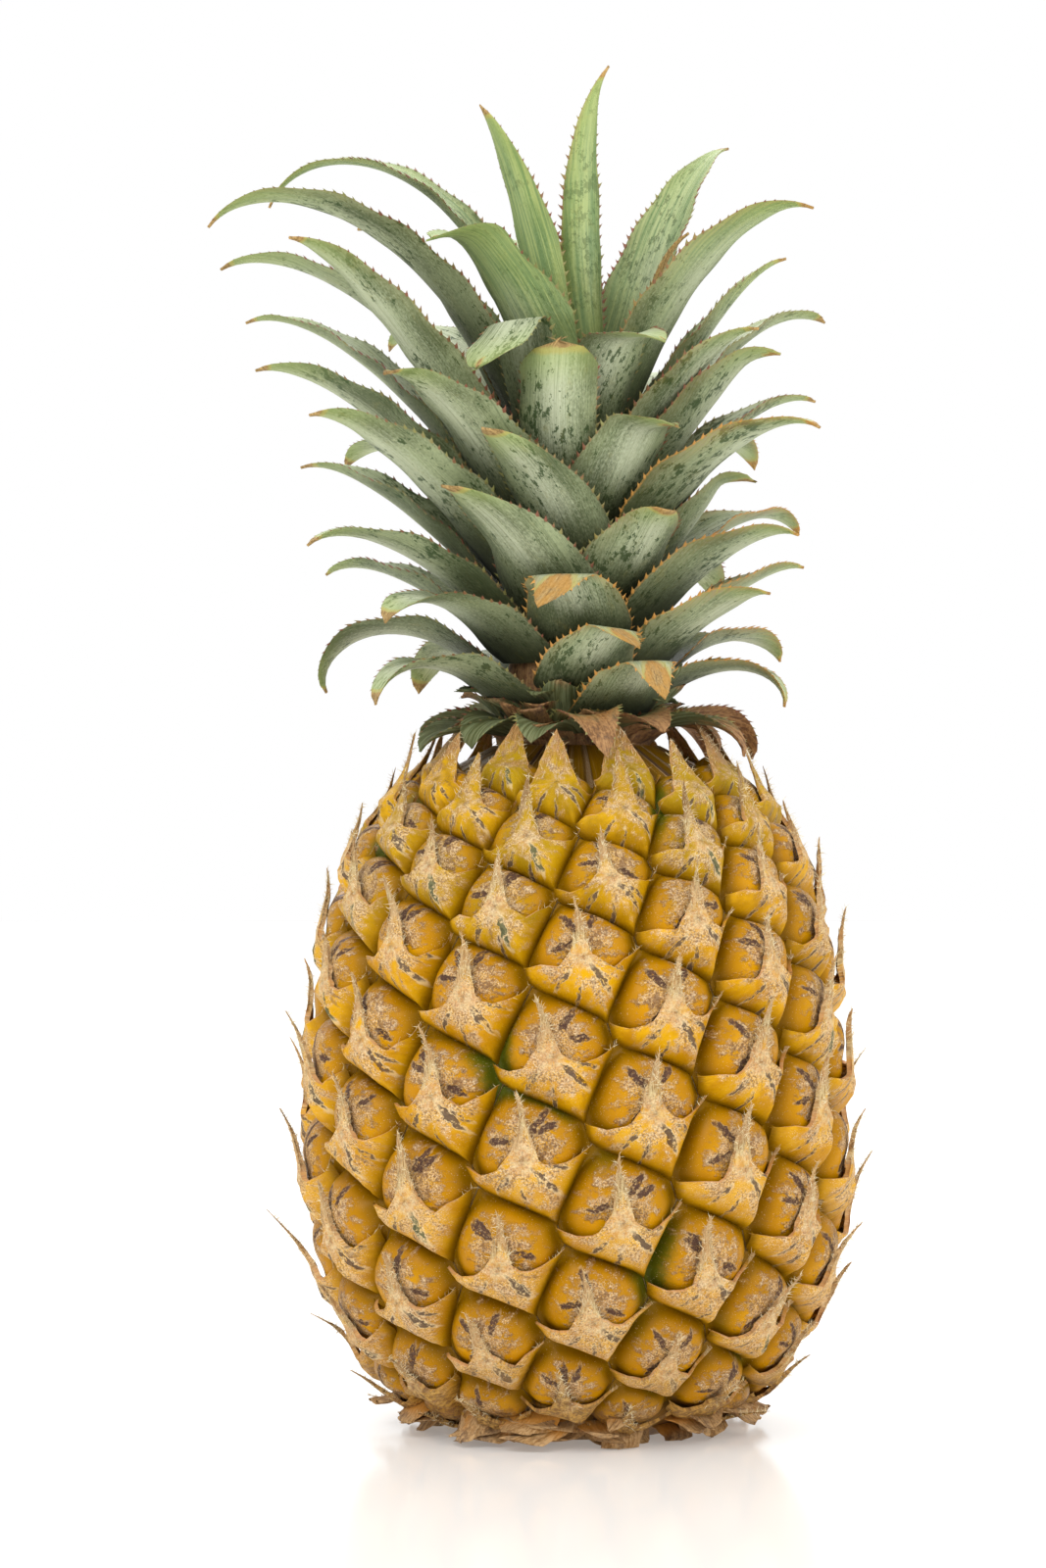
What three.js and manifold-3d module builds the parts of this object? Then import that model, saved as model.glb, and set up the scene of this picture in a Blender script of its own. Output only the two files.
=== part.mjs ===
// A ripe pineapple standing on its cut stalk: one fruit covered in eyes, each eye with a pointed bract,
// and above it the stem of the crown with its spiral of channelled, saw-edged leaves.
// Units are millimetres and +Z is up. The origin is the centre of the flat cut face that the fruit stands on.
// An azimuth of 0 looks towards -Y and grows towards +X.
import * as THREE from "three";
import { mergeVertices } from "three/addons/utils/BufferGeometryUtils.js";
import Module from "manifold-3d";

// ---------------------------------------------------------------- driving dimensions

const FRUIT = {
  // Outline over the crests of the eyes, as [radius, height] from the cut stalk to the seat of the crown.
  outline: [
    [24, 1.5], [33, 4.5], [41, 11], [47, 21], [51.2, 31], [54, 43], [54.6, 56], [54, 72],
    [52.6, 88], [50.4, 101], [47.4, 111], [42.8, 121], [35.5, 130], [27, 135.5], [21, 137.5],
  ],
  footRadius: 21, // the cut face of the stalk
  seatRadius: 17, // the flat top that carries the crown
  seatHeight: 138.2,
};

const EYES = {
  count: 142,
  divergence: THREE.MathUtils.degToRad(157.86), // turn from one eye to the next up the fruit
  firstAzimuth: THREE.MathUtils.degToRad(148.84),
  firstClimb: 0.258, // where the lowest eye sits: arc length up the outline, in shares of the local radius
  rise: 0.0265, // climb from the lowest eye to the next
  flattening: 0.00003, // how the rise lessens from eye to eye, half of it at a time
  jitter: 0.011, // how far an eye may sit from its place in the spiral
  sideShare: 0.7, // how much of its short side a cell keeps, which makes it a rounded rhombus
  lean: 0.4, // how far an eye's own upright leans over to the left
  depth: 4.4, // from an eye's crest down to the groove round it
  fullRadius: 54.6, // the radius at which an eye has its full depth
  seed: 3,
};

const STEM = {
  // The crown's stem, as [radius, height].
  outline: [[15, 138.7], [14.6, 146], [13.4, 158], [11.4, 172], [9, 187], [6.6, 198], [4, 206], [0, 209]],
  sides: 16,
};

const LEAVES = {
  count: 58,
  divergence: THREE.MathUtils.degToRad(137.508), // the golden angle
  firstAzimuth: THREE.MathUtils.degToRad(28),
  firstHeight: 144.5,
  heightGained: 61.5, // from the lowest root to the innermost
  rootGap: 1.3, // from the stem to the middle of a leaf's root
  rootHalfAngle: 0.63, // how far a root reaches round the stem, each way, in radians
  channel: 0.26, // how deep a leaf's channel is, as a share of its half width
  toothPitch: 5,
  toothLength: 1.5,
  toothRake: 1.1, // how far a tooth's point lies ahead of its foot
  tornEnd: 0.14, // the share of its length over which a torn end is rounded off
  gentleFold: 0.9, // a fold above this, in radians, flattens the blade
  seed: 7,
};

// How the leaves change up the stem. Each row is a share of the leaf count, from 0 at the lowest leaf to 1 at
// the innermost, and then the length, the greatest width, and the angle from upright at the root and at the tip.
const LEAF_STAGES = [
  { at: 0.0, length: 38, width: 19, root: 62, tip: 140 },
  { at: 0.12, length: 44, width: 22, root: 56, tip: 135 },
  { at: 0.3, length: 54, width: 25, root: 46, tip: 118 },
  { at: 0.5, length: 68, width: 25, root: 40, tip: 100 },
  { at: 0.7, length: 78, width: 24, root: 34, tip: 86 },
  { at: 0.86, length: 66, width: 21, root: 27, tip: 62 },
  { at: 1.0, length: 40, width: 12, root: 8, tip: 24 },
];

// Where the tips of single leaves lie, by leaf number, as { across, height } from the axis towards +X and from the
// foot. A leaf near the front or back needs its reach from the axis as well. Its length and bend follow from
// these. A leaf may also be turned round the stem in degrees, have its own width or root angle, or be folded
// over by an angle at a share of its length. A torn leaf has a blunt round end that keeps that share of its width.
const TIPS = {
  0: { across: 17, height: 147, reach: 36, fold: 110, foldAt: 0.67 },
  2: { across: -40, height: 146 },
  3: { across: 42, height: 146 },
  5: { across: 12, height: 157, reach: 34, fold: 100, foldAt: 0.72, turn: 8 },
  6: { across: 43, height: 156, turn: -15 },
  7: { across: -51, height: 149 },
  8: { across: 38, height: 168, turn: 8 },
  10: { across: -38, height: 162, turn: -14 },
  11: { across: 47, height: 175 },
  12: { across: -52, height: 174, turn: 12 },
  13: { across: -8, height: 165, reach: 33, fold: 120, foldAt: 0.67, turn: -13 },
  15: { across: -54, height: 178, turn: -3 },
  16: { across: 44, height: 180 },
  18: { across: -27, height: 189, reach: 38, turn: -4 },
  20: { across: -57, height: 196 },
  21: { across: 18, height: 184, reach: 36, width: 23 },
  23: { across: -53, height: 203, turn: -12 },
  24: { across: 36, height: 192, fold: 50, foldAt: 0.8, turn: -2, width: 22, torn: 0.5 },
  26: { across: -19, height: 200, reach: 36, turn: -8, width: 22 },
  28: { across: -65, height: 214, turn: -2 },
  29: { across: 48, height: 201, turn: 8 },
  31: { across: -38, height: 210, turn: -14 },
  32: { across: 50, height: 210 },
  33: { across: -69, height: 227, turn: 6 },
  34: { across: 19, height: 201, reach: 34, fold: 60, foldAt: 0.72, torn: 0.35 },
  36: { across: -57, height: 238 },
  37: { across: 41, height: 217, fold: 25, foldAt: 0.85 },
  39: { across: -4, height: 218, reach: 27, width: 20.5, root: 40, turn: -5, torn: 0.85 },
  40: { across: 53, height: 228, turn: -8 },
  41: { across: -73, height: 236 },
  42: { across: 36, height: 221, turn: 17, width: 16.5 },
  44: { across: -20, height: 212, reach: 37, fold: 130, foldAt: 0.66, turn: 12, width: 18, torn: 0.75 },
  45: { across: 43, height: 238 },
  46: { across: -46, height: 248 },
  47: { across: 17, height: 217, reach: 36, fold: 60, foldAt: 0.65, width: 21 },
  48: { across: 33, height: 266, turn: -9, width: 22, root: 20 },
  49: { across: -74, height: 242, turn: -5 },
  50: { across: 46.4, height: 244, turn: -4 },
  52: {
    across: -29, height: 239, reach: 33, fold: 40, foldAt: 0.86, width: 31, turn: -14, clasp: 0.78, torn: 0.6,
  },
  53: { across: 23, height: 243, width: 9, turn: -22 },
  54: { across: -64, height: 251 },
  55: { across: 6.4, height: 275, reach: 11, width: 8, bow: -4, turn: 28 },
  57: { across: -19.6, height: 267, width: 17, root: 14, turn: 24, reach: 20, clasp: 0.5 },
};

// The withered leaves at the foot of the crown, which have grown together with the stem and hang over the fruit.
const WITHERED = {
  count: 13,
  firstHeight: 140.1,
  heightGained: 2.4,
  firstAzimuth: THREE.MathUtils.degToRad(-72),
  length: 26,
  width: 15,
  rootAngle: THREE.MathUtils.degToRad(76),
  tipAngle: THREE.MathUtils.degToRad(138),
  overlap: 2.2, // how far a root reaches into the stem
};

// ---------------------------------------------------------------- small helpers

const wasm = await Module();
wasm.setup();

const lerp = THREE.MathUtils.lerp;
const clamp = THREE.MathUtils.clamp;

// A repeatable random number from -1 to 1 for an index and a use of it.
function sway(index, use, seed) {
  const x = Math.sin(index * 127.1 + use * 311.7 + seed * 74.7) * 43758.5453;
  return 2 * (x - Math.floor(x)) - 1;
}

// A closed geometry from a list of [x, y, z] points and a list of [a, b, c] triangles.
function geometryOf(points, triangles) {
  const geometry = new THREE.BufferGeometry();
  geometry.setAttribute("position", new THREE.Float32BufferAttribute(points.flat(), 3));
  geometry.setIndex(triangles.flat());
  return geometry;
}

// A closed geometry as a solid, and back.
function solidOf(geometry) {
  const merged = mergeVertices(new THREE.BufferGeometry().copy(geometry).deleteAttribute("uv").deleteAttribute("normal"));
  return new wasm.Manifold(new wasm.Mesh({
    numProp: 3,
    vertProperties: merged.getAttribute("position").array,
    triVerts: new Uint32Array(merged.index.array),
  }));
}

function geometryOfSolid(solid) {
  const mesh = solid.simplify(0.02).getMesh();
  const geometry = new THREE.BufferGeometry();
  geometry.setAttribute("position", new THREE.Float32BufferAttribute(mesh.vertProperties, 3));
  geometry.setIndex(Array.from(mesh.triVerts));
  return geometry;
}

// ---------------------------------------------------------------- the fruit

// The outline as a fine table of radius, height, outward normal and climb. The climb is the arc length in shares
// of the local radius, so that a cell of fixed size in azimuth and climb keeps its shape all over the fruit.
function outlineTable() {
  const curve = new THREE.SplineCurve(FRUIT.outline.map(([r, z]) => new THREE.Vector2(r, z)));
  const steps = 400;
  const rows = [];
  for (let i = 0, climb = 0; i <= steps; i++) {
    const p = curve.getPoint(i / steps);
    const tangent = curve.getTangent(i / steps);
    if (i) {
      const last = rows[i - 1];
      climb += Math.hypot(p.x - last.r, p.y - last.z) / ((p.x + last.r) / 2);
    }
    rows.push({ r: p.x, z: p.y, nr: tangent.y, nz: -tangent.x, climb });
  }
  return rows;
}

const OUTLINE = outlineTable();

// The row of the outline at a climb.
function outlineAt(climb) {
  let low = 0;
  let high = OUTLINE.length - 1;
  while (high - low > 1) {
    const middle = (low + high) >> 1;
    if (OUTLINE[middle].climb > climb) high = middle;
    else low = middle;
  }
  const a = OUTLINE[low];
  const b = OUTLINE[high];
  const share = clamp((climb - a.climb) / (b.climb - a.climb), 0, 1);
  const row = {};
  for (const key of Object.keys(a)) row[key] = lerp(a[key], b[key], share);
  return row;
}

// The point at an azimuth and climb, raised by a height that shrinks with the fruit's radius.
function onFruit(azimuth, climb, height) {
  const { r, z, nr, nz } = outlineAt(climb);
  const raised = (height * r) / EYES.fullRadius;
  const radius = r + raised * nr;
  return [radius * Math.sin(azimuth), -radius * Math.cos(azimuth), Math.max(z + raised * nz, 0.4)];
}

// An eye's six neighbours are 7, 9 and 16 before and after it.
const SPIRAL = { right: 7, left: 9, up: 16 };

// The middle of an eye in azimuth and climb.
function eyeCentre(k) {
  return new THREE.Vector2(
    EYES.firstAzimuth + k * EYES.divergence + EYES.jitter * sway(k, 1, EYES.seed),
    EYES.firstClimb + k * EYES.rise - k * k * EYES.flattening + EYES.jitter * sway(k, 2, EYES.seed),
  );
}

// The shortest way from one point of the fruit to another.
function wayTo(from, to) {
  const turn = to.x - from.x;
  return new THREE.Vector2(turn - 2 * Math.PI * Math.round(turn / (2 * Math.PI)), to.y - from.y);
}

// The point as far from an eye as from two of its neighbours. It is drawn towards the middle of the short side
// between two eyes, a and b, given as ways from the first eye.
function cellCorner(k, ahead, shortSide) {
  const centre = eyeCentre(k);
  const [p, q] = ahead.map((step) => wayTo(centre, eyeCentre(k + step)));
  const [a, b] = shortSide.map((step) => (step ? wayTo(centre, eyeCentre(k + step)) : new THREE.Vector2()));
  const det = p.x * q.y - p.y * q.x;
  const [pp, qq] = [p.lengthSq() / 2, q.lengthSq() / 2];
  const meeting = new THREE.Vector2((pp * q.y - qq * p.y) / det, (qq * p.x - pp * q.x) / det);
  return a.add(b).multiplyScalar(0.5).lerp(meeting, EYES.sideShare).add(centre);
}

// The two kinds of corner, each known by the lowest of the three eyes that meet in it.
const { right, left, up } = SPIRAL;
const rightCorner = (k) => ({ key: `r${k}`, at: cellCorner(k, [right, up], [0, right]) });
const topCorner = (k) => ({ key: `t${k}`, at: cellCorner(k, [left, up], [left, up]) });

// The groove round an eye, as ten ways from its middle, anticlockwise from its right corner: six corners, and
// the middles of the four long sides. Each has a key that is the same in every cell that shares the point.
function grooveRing(k) {
  const centre = eyeCentre(k);
  const corners = [
    topCorner(k - left), rightCorner(k), topCorner(k), rightCorner(k - right), topCorner(k - up),
    rightCorner(k - up),
  ].map(({ key, at }) => ({ key, at: wayTo(centre, at) }));
  const longSides = [1, 2, 4, 5];
  const ring = [];
  corners.forEach((corner, i) => {
    const next = corners[(i + 1) % corners.length];
    ring.push(corner);
    if (longSides.includes(i)) {
      ring.push({ key: [corner.key, next.key].sort().join("+"), at: corner.at.clone().lerp(next.at, 0.5) });
    }
  });
  return ring;
}

// One eye inside its groove: how far out each ring point's shoulder lies, the points inside as
// [across, up, height], and the triangles between them. s0 to s9 are the shoulders, in the ring's order.
const SHOULDER = {
  reach: 0.84,
  heights: [-1.2, -1.2, -1.4, -1.5, -1.4, -1.0, -0.3, 0.2, -0.2, -0.2],
};
const EYE_POINTS = {
  crest: [-0.01, 0.13, 0.1], // top of the smooth dome
  hollowLeft: [-0.11, 0.03, -1.1], // foot of the dome behind the bract's edge
  hollowRight: [0.12, 0.045, -1.1],
  hollow: [0.0, 0.06, -0.8],
  edgeLeft: [-0.1, -0.03, 0.7], // the bract's free edge
  edgeRight: [0.105, -0.015, 0.7],
  spineLeft: [-0.045, 0.01, 1.8], // foot of the bract's point
  spineRight: [0.045, 0.015, 1.8],
  belly: [0.0, -0.1, 1.7], // crown of the bract
  spine: [-0.018, 0.207, 5.6], // the bract's point, which stands upright however far the eye leans
};
const SPINE_GROWTH = { along: 0.15, height: 5 }; // how much longer the points are on the topmost eyes
const EYE_TRIANGLES = [
  ["crest", "s1", "s2"], ["crest", "s2", "s3"], ["crest", "s3", "s4"], ["crest", "s4", "hollowLeft"],
  ["crest", "hollowLeft", "hollow"], ["crest", "hollow", "hollowRight"], ["crest", "hollowRight", "s1"],
  ["hollowLeft", "s4", "s5"], ["hollowLeft", "s5", "edgeLeft"], ["hollowLeft", "edgeLeft", "spineLeft"],
  ["hollowLeft", "spineLeft", "hollow"], ["hollowRight", "hollow", "spineRight"],
  ["hollowRight", "spineRight", "edgeRight"], ["hollowRight", "edgeRight", "s0"], ["hollowRight", "s0", "s1"],
  ["spine", "spineLeft", "spineRight"], ["spine", "hollow", "spineLeft"], ["spine", "spineRight", "hollow"],
  ["belly", "edgeLeft", "s5"], ["belly", "s5", "s6"], ["belly", "s6", "s7"], ["belly", "s7", "s8"],
  ["belly", "s8", "s9"], ["belly", "s9", "s0"], ["belly", "s0", "edgeRight"], ["belly", "edgeRight", "spineRight"],
  ["belly", "spineRight", "spineLeft"], ["belly", "spineLeft", "edgeLeft"],
];

// Adds one eye to the growing skin. Groove points are shared through their keys.
function addEye(skin, k) {
  const centre = eyeCentre(k);
  const ring = grooveRing(k);
  const place = (way, height) => {
    skin.points.push(onFruit(centre.x + way.x, centre.y + way.y, height));
    return skin.points.length - 1;
  };
  const groove = ring.map(({ key, at }) => {
    if (!skin.shared.has(key)) skin.shared.set(key, place(at, -EYES.depth));
    return skin.shared.get(key);
  });
  const inside = {};
  ring.forEach(({ at }, i) => {
    inside[`s${i}`] = place(at.clone().multiplyScalar(SHOULDER.reach), SHOULDER.heights[i]);
  });
  const late = THREE.MathUtils.smoothstep(k / EYES.count, 0.75, 1);
  for (const [name, [across, along, height]] of Object.entries(EYE_POINTS)) {
    const [grown, lean] = name === "spine" ? [late, 0] : [0, EYES.lean];
    const reach = along + SPINE_GROWTH.along * grown;
    inside[name] = place(new THREE.Vector2(across - lean * reach, reach), height + SPINE_GROWTH.height * grown);
  }
  groove.forEach((point, i) => {
    const j = (i + 1) % groove.length;
    skin.triangles.push([point, groove[j], inside[`s${j}`]], [point, inside[`s${j}`], inside[`s${i}`]]);
  });
  for (const corners of EYE_TRIANGLES) skin.triangles.push(corners.map((name) => inside[name]));
}

// The open edges of a set of triangles, as loops of point numbers in the order of their faces.
function openLoops(triangles) {
  const used = new Set();
  const edges = triangles.flatMap(([a, b, c]) => [[a, b], [b, c], [c, a]]);
  edges.forEach(([a, b]) => used.add(`${a},${b}`));
  const next = new Map(edges.filter(([a, b]) => !used.has(`${b},${a}`)));
  const loops = [];
  while (next.size) {
    const loop = [];
    for (let at = next.keys().next().value; next.has(at);) {
      const to = next.get(at);
      next.delete(at);
      loop.push(at);
      at = to;
    }
    loops.push(loop);
  }
  return loops;
}

// Closes a loop with a band down or up to a flat disc of the given radius and height.
function closeWithDisc(skin, loop, radius, height) {
  const rim = loop.map((point) => {
    const [x, y] = skin.points[point];
    const share = radius / Math.hypot(x, y);
    skin.points.push([x * share, y * share, height]);
    return skin.points.length - 1;
  });
  skin.points.push([0, 0, height]);
  const middle = skin.points.length - 1;
  loop.forEach((point, i) => {
    const j = (i + 1) % loop.length;
    skin.triangles.push([loop[j], point, rim[i]], [loop[j], rim[i], rim[j]], [rim[j], rim[i], middle]);
  });
}

function fruitGeometry() {
  const skin = { points: [], triangles: [], shared: new Map() };
  for (let k = 0; k < EYES.count; k++) addEye(skin, k);
  const height = (loop) => loop.reduce((sum, point) => sum + skin.points[point][2], 0) / loop.length;
  const [bottom, top] = openLoops(skin.triangles).sort((a, b) => height(a) - height(b));
  closeWithDisc(skin, bottom, FRUIT.footRadius, 0);
  closeWithDisc(skin, top, FRUIT.seatRadius, FRUIT.seatHeight);
  return geometryOf(skin.points, skin.triangles);
}

// ---------------------------------------------------------------- the crown

function latheGeometry(outline, sides) {
  const lathe = new THREE.LatheGeometry(outline.map(([r, z]) => new THREE.Vector2(r, z)), sides);
  lathe.rotateX(Math.PI / 2);
  return lathe;
}

// The stem's radius at a height.
function stemRadius(height) {
  const rows = STEM.outline;
  const i = rows.findIndex(([, z]) => z >= height);
  if (i < 1) return i < 0 ? 0 : rows[0][0];
  const [[r0, z0], [r1, z1]] = [rows[i - 1], rows[i]];
  return lerp(r0, r1, (height - z0) / (z1 - z0));
}

// A leaf's own sizes: those of its stage, with a little natural spread.
function leafSizes(k) {
  const share = k / (LEAVES.count - 1);
  const i = Math.min(LEAF_STAGES.findIndex(({ at }) => at >= share) || 1, LEAF_STAGES.length - 1);
  const [a, b] = [LEAF_STAGES[i - 1], LEAF_STAGES[i]];
  const blend = (name) => lerp(a[name], b[name], (share - a.at) / (b.at - a.at));
  const spread = (use) => sway(k, use, LEAVES.seed);
  const radians = THREE.MathUtils.degToRad;
  const tip = TIPS[k] ?? {};
  const height = LEAVES.firstHeight + LEAVES.heightGained * share;
  const leaf = {
    azimuth: LEAVES.firstAzimuth + k * LEAVES.divergence + radians(tip.turn ?? 3 * spread(1)),
    height,
    start: stemRadius(height) + LEAVES.rootGap,
    halfWidth: (tip.width ?? blend("width") * (1 + 0.06 * spread(3))) / 2,
    rootAngle: radians(tip.root ?? blend("root")),
    tipAngle: radians(blend("tip") + 9 * spread(4)),
    hook: radians(35), // a last downward curl of the tip
    fold: radians(tip.fold ?? 0),
    foldAt: tip.foldAt ?? 1,
    clasp: tip.clasp ?? LEAVES.rootHalfAngle,
    length: blend("length") * (1 + 0.1 * spread(2)),
    aside: 4 * spread(5), // how far the tip bends aside
    bow: tip.bow ?? 0, // how far the middle bends aside
    torn: tip.torn ?? 0, // how much of its width it keeps at a torn end
  };
  if (tip.height) aimLeaf(leaf, tip);
  return leaf;
}

// Sets a leaf's length and bend so that its tip comes where it should. The direction from root to tip depends
// on the bend alone, and the length then follows.
function aimLeaf(leaf, tip) {
  const side = Math.sin(leaf.azimuth);
  const reach = tip.reach ?? tip.across / side;
  leaf.aside = tip.reach ? (tip.across - reach * side) / Math.cos(leaf.azimuth) : 0;
  const wanted = new THREE.Vector2(reach - leaf.start, tip.height - leaf.height);
  const bearing = Math.atan2(wanted.x, wanted.y);
  if (!tip.root) leaf.rootAngle = Math.min(leaf.rootAngle, bearing - 0.1);
  leaf.length = 1;
  let [low, high] = [-1.5, 3.6];
  for (let i = 0; i < 30; i++) {
    leaf.tipAngle = (low + high) / 2;
    const end = leafLine(leaf, 60).pop();
    if (Math.atan2(end.r - leaf.start, end.z - leaf.height) < bearing) low = leaf.tipAngle;
    else high = leaf.tipAngle;
  }
  const end = leafLine(leaf, 60).pop();
  leaf.length = wanted.length() / Math.hypot(end.r - leaf.start, end.z - leaf.height);
}

// The angle from upright of a leaf's middle line at a share of its length.
function leafAngle(leaf, share) {
  const curl = leaf.hook * Math.pow(share, 10);
  const folded = leaf.fold * THREE.MathUtils.smoothstep(share, leaf.foldAt - 0.06, leaf.foldAt + 0.06);
  return lerp(leaf.rootAngle, leaf.tipAngle, share * share) + curl + folded;
}

// How far a leaf's middle line lies to the side at a share of its length.
const asideAt = (leaf, share) => leaf.aside * share * share + 4 * leaf.bow * share * (1 - share);

// The middle line of a leaf: its distance from the axis, height and angle from upright, at even steps.
function leafLine(leaf, steps) {
  let r = leaf.start;
  let z = leaf.height;
  const rows = [];
  const step = leaf.length / steps;
  for (let i = 0; i <= steps; i++) {
    const share = i / steps;
    const angle = leafAngle(leaf, share);
    rows.push({ share, r, z, angle, aside: asideAt(leaf, share) });
    const middle = leafAngle(leaf, share + 0.5 / steps);
    r += step * Math.sin(middle);
    z += step * Math.cos(middle);
  }
  return rows;
}

// How much of its channel a leaf keeps at a share of its length: a blade lies flat where it folds sharply.
function flatAt(leaf, share) {
  const sharp = clamp(leaf.fold - LEAVES.gentleFold, 0, 1);
  return 1 - sharp * THREE.MathUtils.smoothstep(share, leaf.foldAt - 0.22, leaf.foldAt - 0.06);
}

// The half width at a share of the length: a spread foot, then a long taper to the point.
function halfWidthAt(leaf, row) {
  const taper = Math.pow(1 - row.share, 0.8) * (1 + 0.9 * row.share);
  const kept = leaf.torn * Math.sqrt(clamp((1 - row.share) / LEAVES.tornEnd, 0, 1));
  return Math.min(leaf.halfWidth * Math.max(taper, kept), row.r * leaf.clasp);
}

// A point of the blade, from -1 at its left edge to 1 at its right edge, raised towards its outer face. Near
// the root the blade lies round the stem, and further out it is a channel of its own.
function onLeaf(leaf, row, across, raise, ahead = 0, beyond = 0) {
  const half = halfWidthAt(leaf, row);
  const wrap = (across * half) / Math.max(row.r, 1);
  const direction = leaf.azimuth + wrap;
  const outward = new THREE.Vector3(Math.sin(direction), -Math.cos(direction), 0);
  const sideways = new THREE.Vector3(Math.cos(direction), Math.sin(direction), 0);
  const up = new THREE.Vector3(0, 0, 1);
  const normal = outward.clone().multiplyScalar(Math.cos(row.angle)).addScaledVector(up, -Math.sin(row.angle));
  const along = outward.clone().multiplyScalar(Math.sin(row.angle)).addScaledVector(up, Math.cos(row.angle));
  const hollowed = THREE.MathUtils.smoothstep(row.share, 0.06, 0.45) * flatAt(leaf, row.share);
  const channel = LEAVES.channel * half * across * across * hollowed;
  return outward
    .multiplyScalar(row.r)
    .addScaledVector(up, row.z)
    .addScaledVector(normal, raise - channel)
    .addScaledVector(sideways, row.aside + Math.sign(across) * beyond)
    .addScaledVector(along, ahead)
    .toArray();
}

// A leaf as a closed blade: a keel on each face and two sharp saw edges. Each section of the blade has two
// teeth on each edge, and the faces above and below are split alike.
function leafGeometry(leaf) {
  const sections = Math.max(3, Math.round(leaf.length / LEAVES.toothPitch / 2));
  const perSection = 4;
  const steps = sections * perSection;
  const rows = leafLine(leaf, steps);
  const points = [];
  const add = (point) => points.push(point) - 1;
  const thickness = (share) => lerp(1.5, 0.7, share);
  const keels = [];
  for (let i = 0; i < steps; i += perSection) {
    const half = thickness(rows[i].share) / 2;
    keels.push([add(onLeaf(leaf, rows[i], 0, half)), add(onLeaf(leaf, rows[i], 0, -half))]);
  }
  const tip = add(onLeaf(leaf, rows[steps], 0, 0));
  const edges = [-1, 1].map((side) => {
    const edge = [];
    for (let i = 0; i < steps; i++) {
      const shrink = Math.min(1, 2.2 * (1 - rows[i].share));
      const isTooth = i % 2 === 1;
      edge.push(
        add(isTooth
          ? onLeaf(leaf, rows[i], side, 0, LEAVES.toothRake * shrink, LEAVES.toothLength * shrink)
          : onLeaf(leaf, rows[i], side, 0)),
      );
    }
    edge.push(tip);
    return edge;
  });
  const triangles = [];
  const face = (a, b, c, flip) => triangles.push(flip ? [a, c, b] : [a, b, c]);
  edges.forEach((edge, side) => {
    [0, 1].forEach((layer) => {
      const flip = (side + layer) % 2 === 0;
      for (let j = 0; j < sections; j++) {
        const near = keels[j][layer];
        const far = j + 1 < sections ? keels[j + 1][layer] : tip;
        const e = edge.slice(j * perSection, j * perSection + perSection + 1);
        face(near, e[0], e[1], flip);
        face(near, e[1], e[2], flip);
        face(near, e[2], far, flip);
        if (far !== tip) {
          face(far, e[2], e[3], flip);
          face(far, e[3], e[4], flip);
        } else {
          face(e[2], e[3], far, flip);
        }
      }
    });
  });
  triangles.push([keels[0][0], edges[0][0], keels[0][1]], [keels[0][0], keels[0][1], edges[1][0]]);
  return geometryOf(points, triangles);
}

// A withered leaf at the foot of the crown.
function witheredLeaf(i) {
  const spread = (use) => sway(i, use, LEAVES.seed + 1);
  const height = WITHERED.firstHeight + (WITHERED.heightGained * i) / WITHERED.count;
  return {
    azimuth: WITHERED.firstAzimuth + i * LEAVES.divergence + 0.1 * spread(1),
    height,
    start: stemRadius(height) - WITHERED.overlap,
    halfWidth: (WITHERED.width / 2) * (1 + 0.2 * spread(2)),
    rootAngle: WITHERED.rootAngle + 0.08 * spread(3),
    tipAngle: WITHERED.tipAngle + 0.35 * spread(4),
    hook: 0.6,
    fold: 0,
    foldAt: 1,
    clasp: LEAVES.rootHalfAngle,
    length: WITHERED.length * (1 + 0.3 * spread(5)),
    aside: 3 * spread(6),
    bow: 0,
    torn: 0,
  };
}

// The stem, joined with its withered leaves.
function stemGeometry() {
  const [[footRadius, footHeight]] = STEM.outline;
  const outline = [[0, footHeight], [footRadius, footHeight], ...STEM.outline.slice(1)];
  const leaves = Array.from({ length: WITHERED.count }, (_, i) => solidOf(leafGeometry(witheredLeaf(i))));
  return geometryOfSolid(wasm.Manifold.union([solidOf(latheGeometry(outline, STEM.sides)), ...leaves]));
}

// ---------------------------------------------------------------- the whole pineapple

const MATERIALS = {
  rind: new THREE.MeshStandardMaterial({ color: 0xc98a1c, roughness: 0.5, metalness: 0, flatShading: true }),
  stem: new THREE.MeshStandardMaterial({ color: 0x9fa77c, roughness: 0.7, metalness: 0, flatShading: true }),
  leaf: new THREE.MeshStandardMaterial({ color: 0x6f8a6c, roughness: 0.6, metalness: 0, flatShading: true }),
};

function addPart(group, name, geometry, material) {
  const mesh = new THREE.Mesh(geometry, material);
  mesh.name = name;
  group.add(mesh);
}

const pineapple = new THREE.Group();
addPart(pineapple, "fruit", fruitGeometry(), MATERIALS.rind);
addPart(pineapple, "crown_stem", stemGeometry(), MATERIALS.stem);
for (let k = 0; k < LEAVES.count; k++) {
  addPart(pineapple, `crown_leaf_${String(k + 1).padStart(2, "0")}`, leafGeometry(leafSizes(k)), MATERIALS.leaf);
}

export default pineapple;
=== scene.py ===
"""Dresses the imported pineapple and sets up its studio.

The pineapple is the rind with its eyes and bracts, and the crown of saw-edged leaves. Lengths in the classes
are in millimetres, except the studio's, and become metres when a mesh is built. An azimuth of 0 looks towards
-Y and grows towards +X, as in the part's own source.
"""

from __future__ import annotations

import sys
import functools
import logging
import math
from collections.abc import Iterable
from dataclasses import dataclass, field
from enum import Enum

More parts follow.
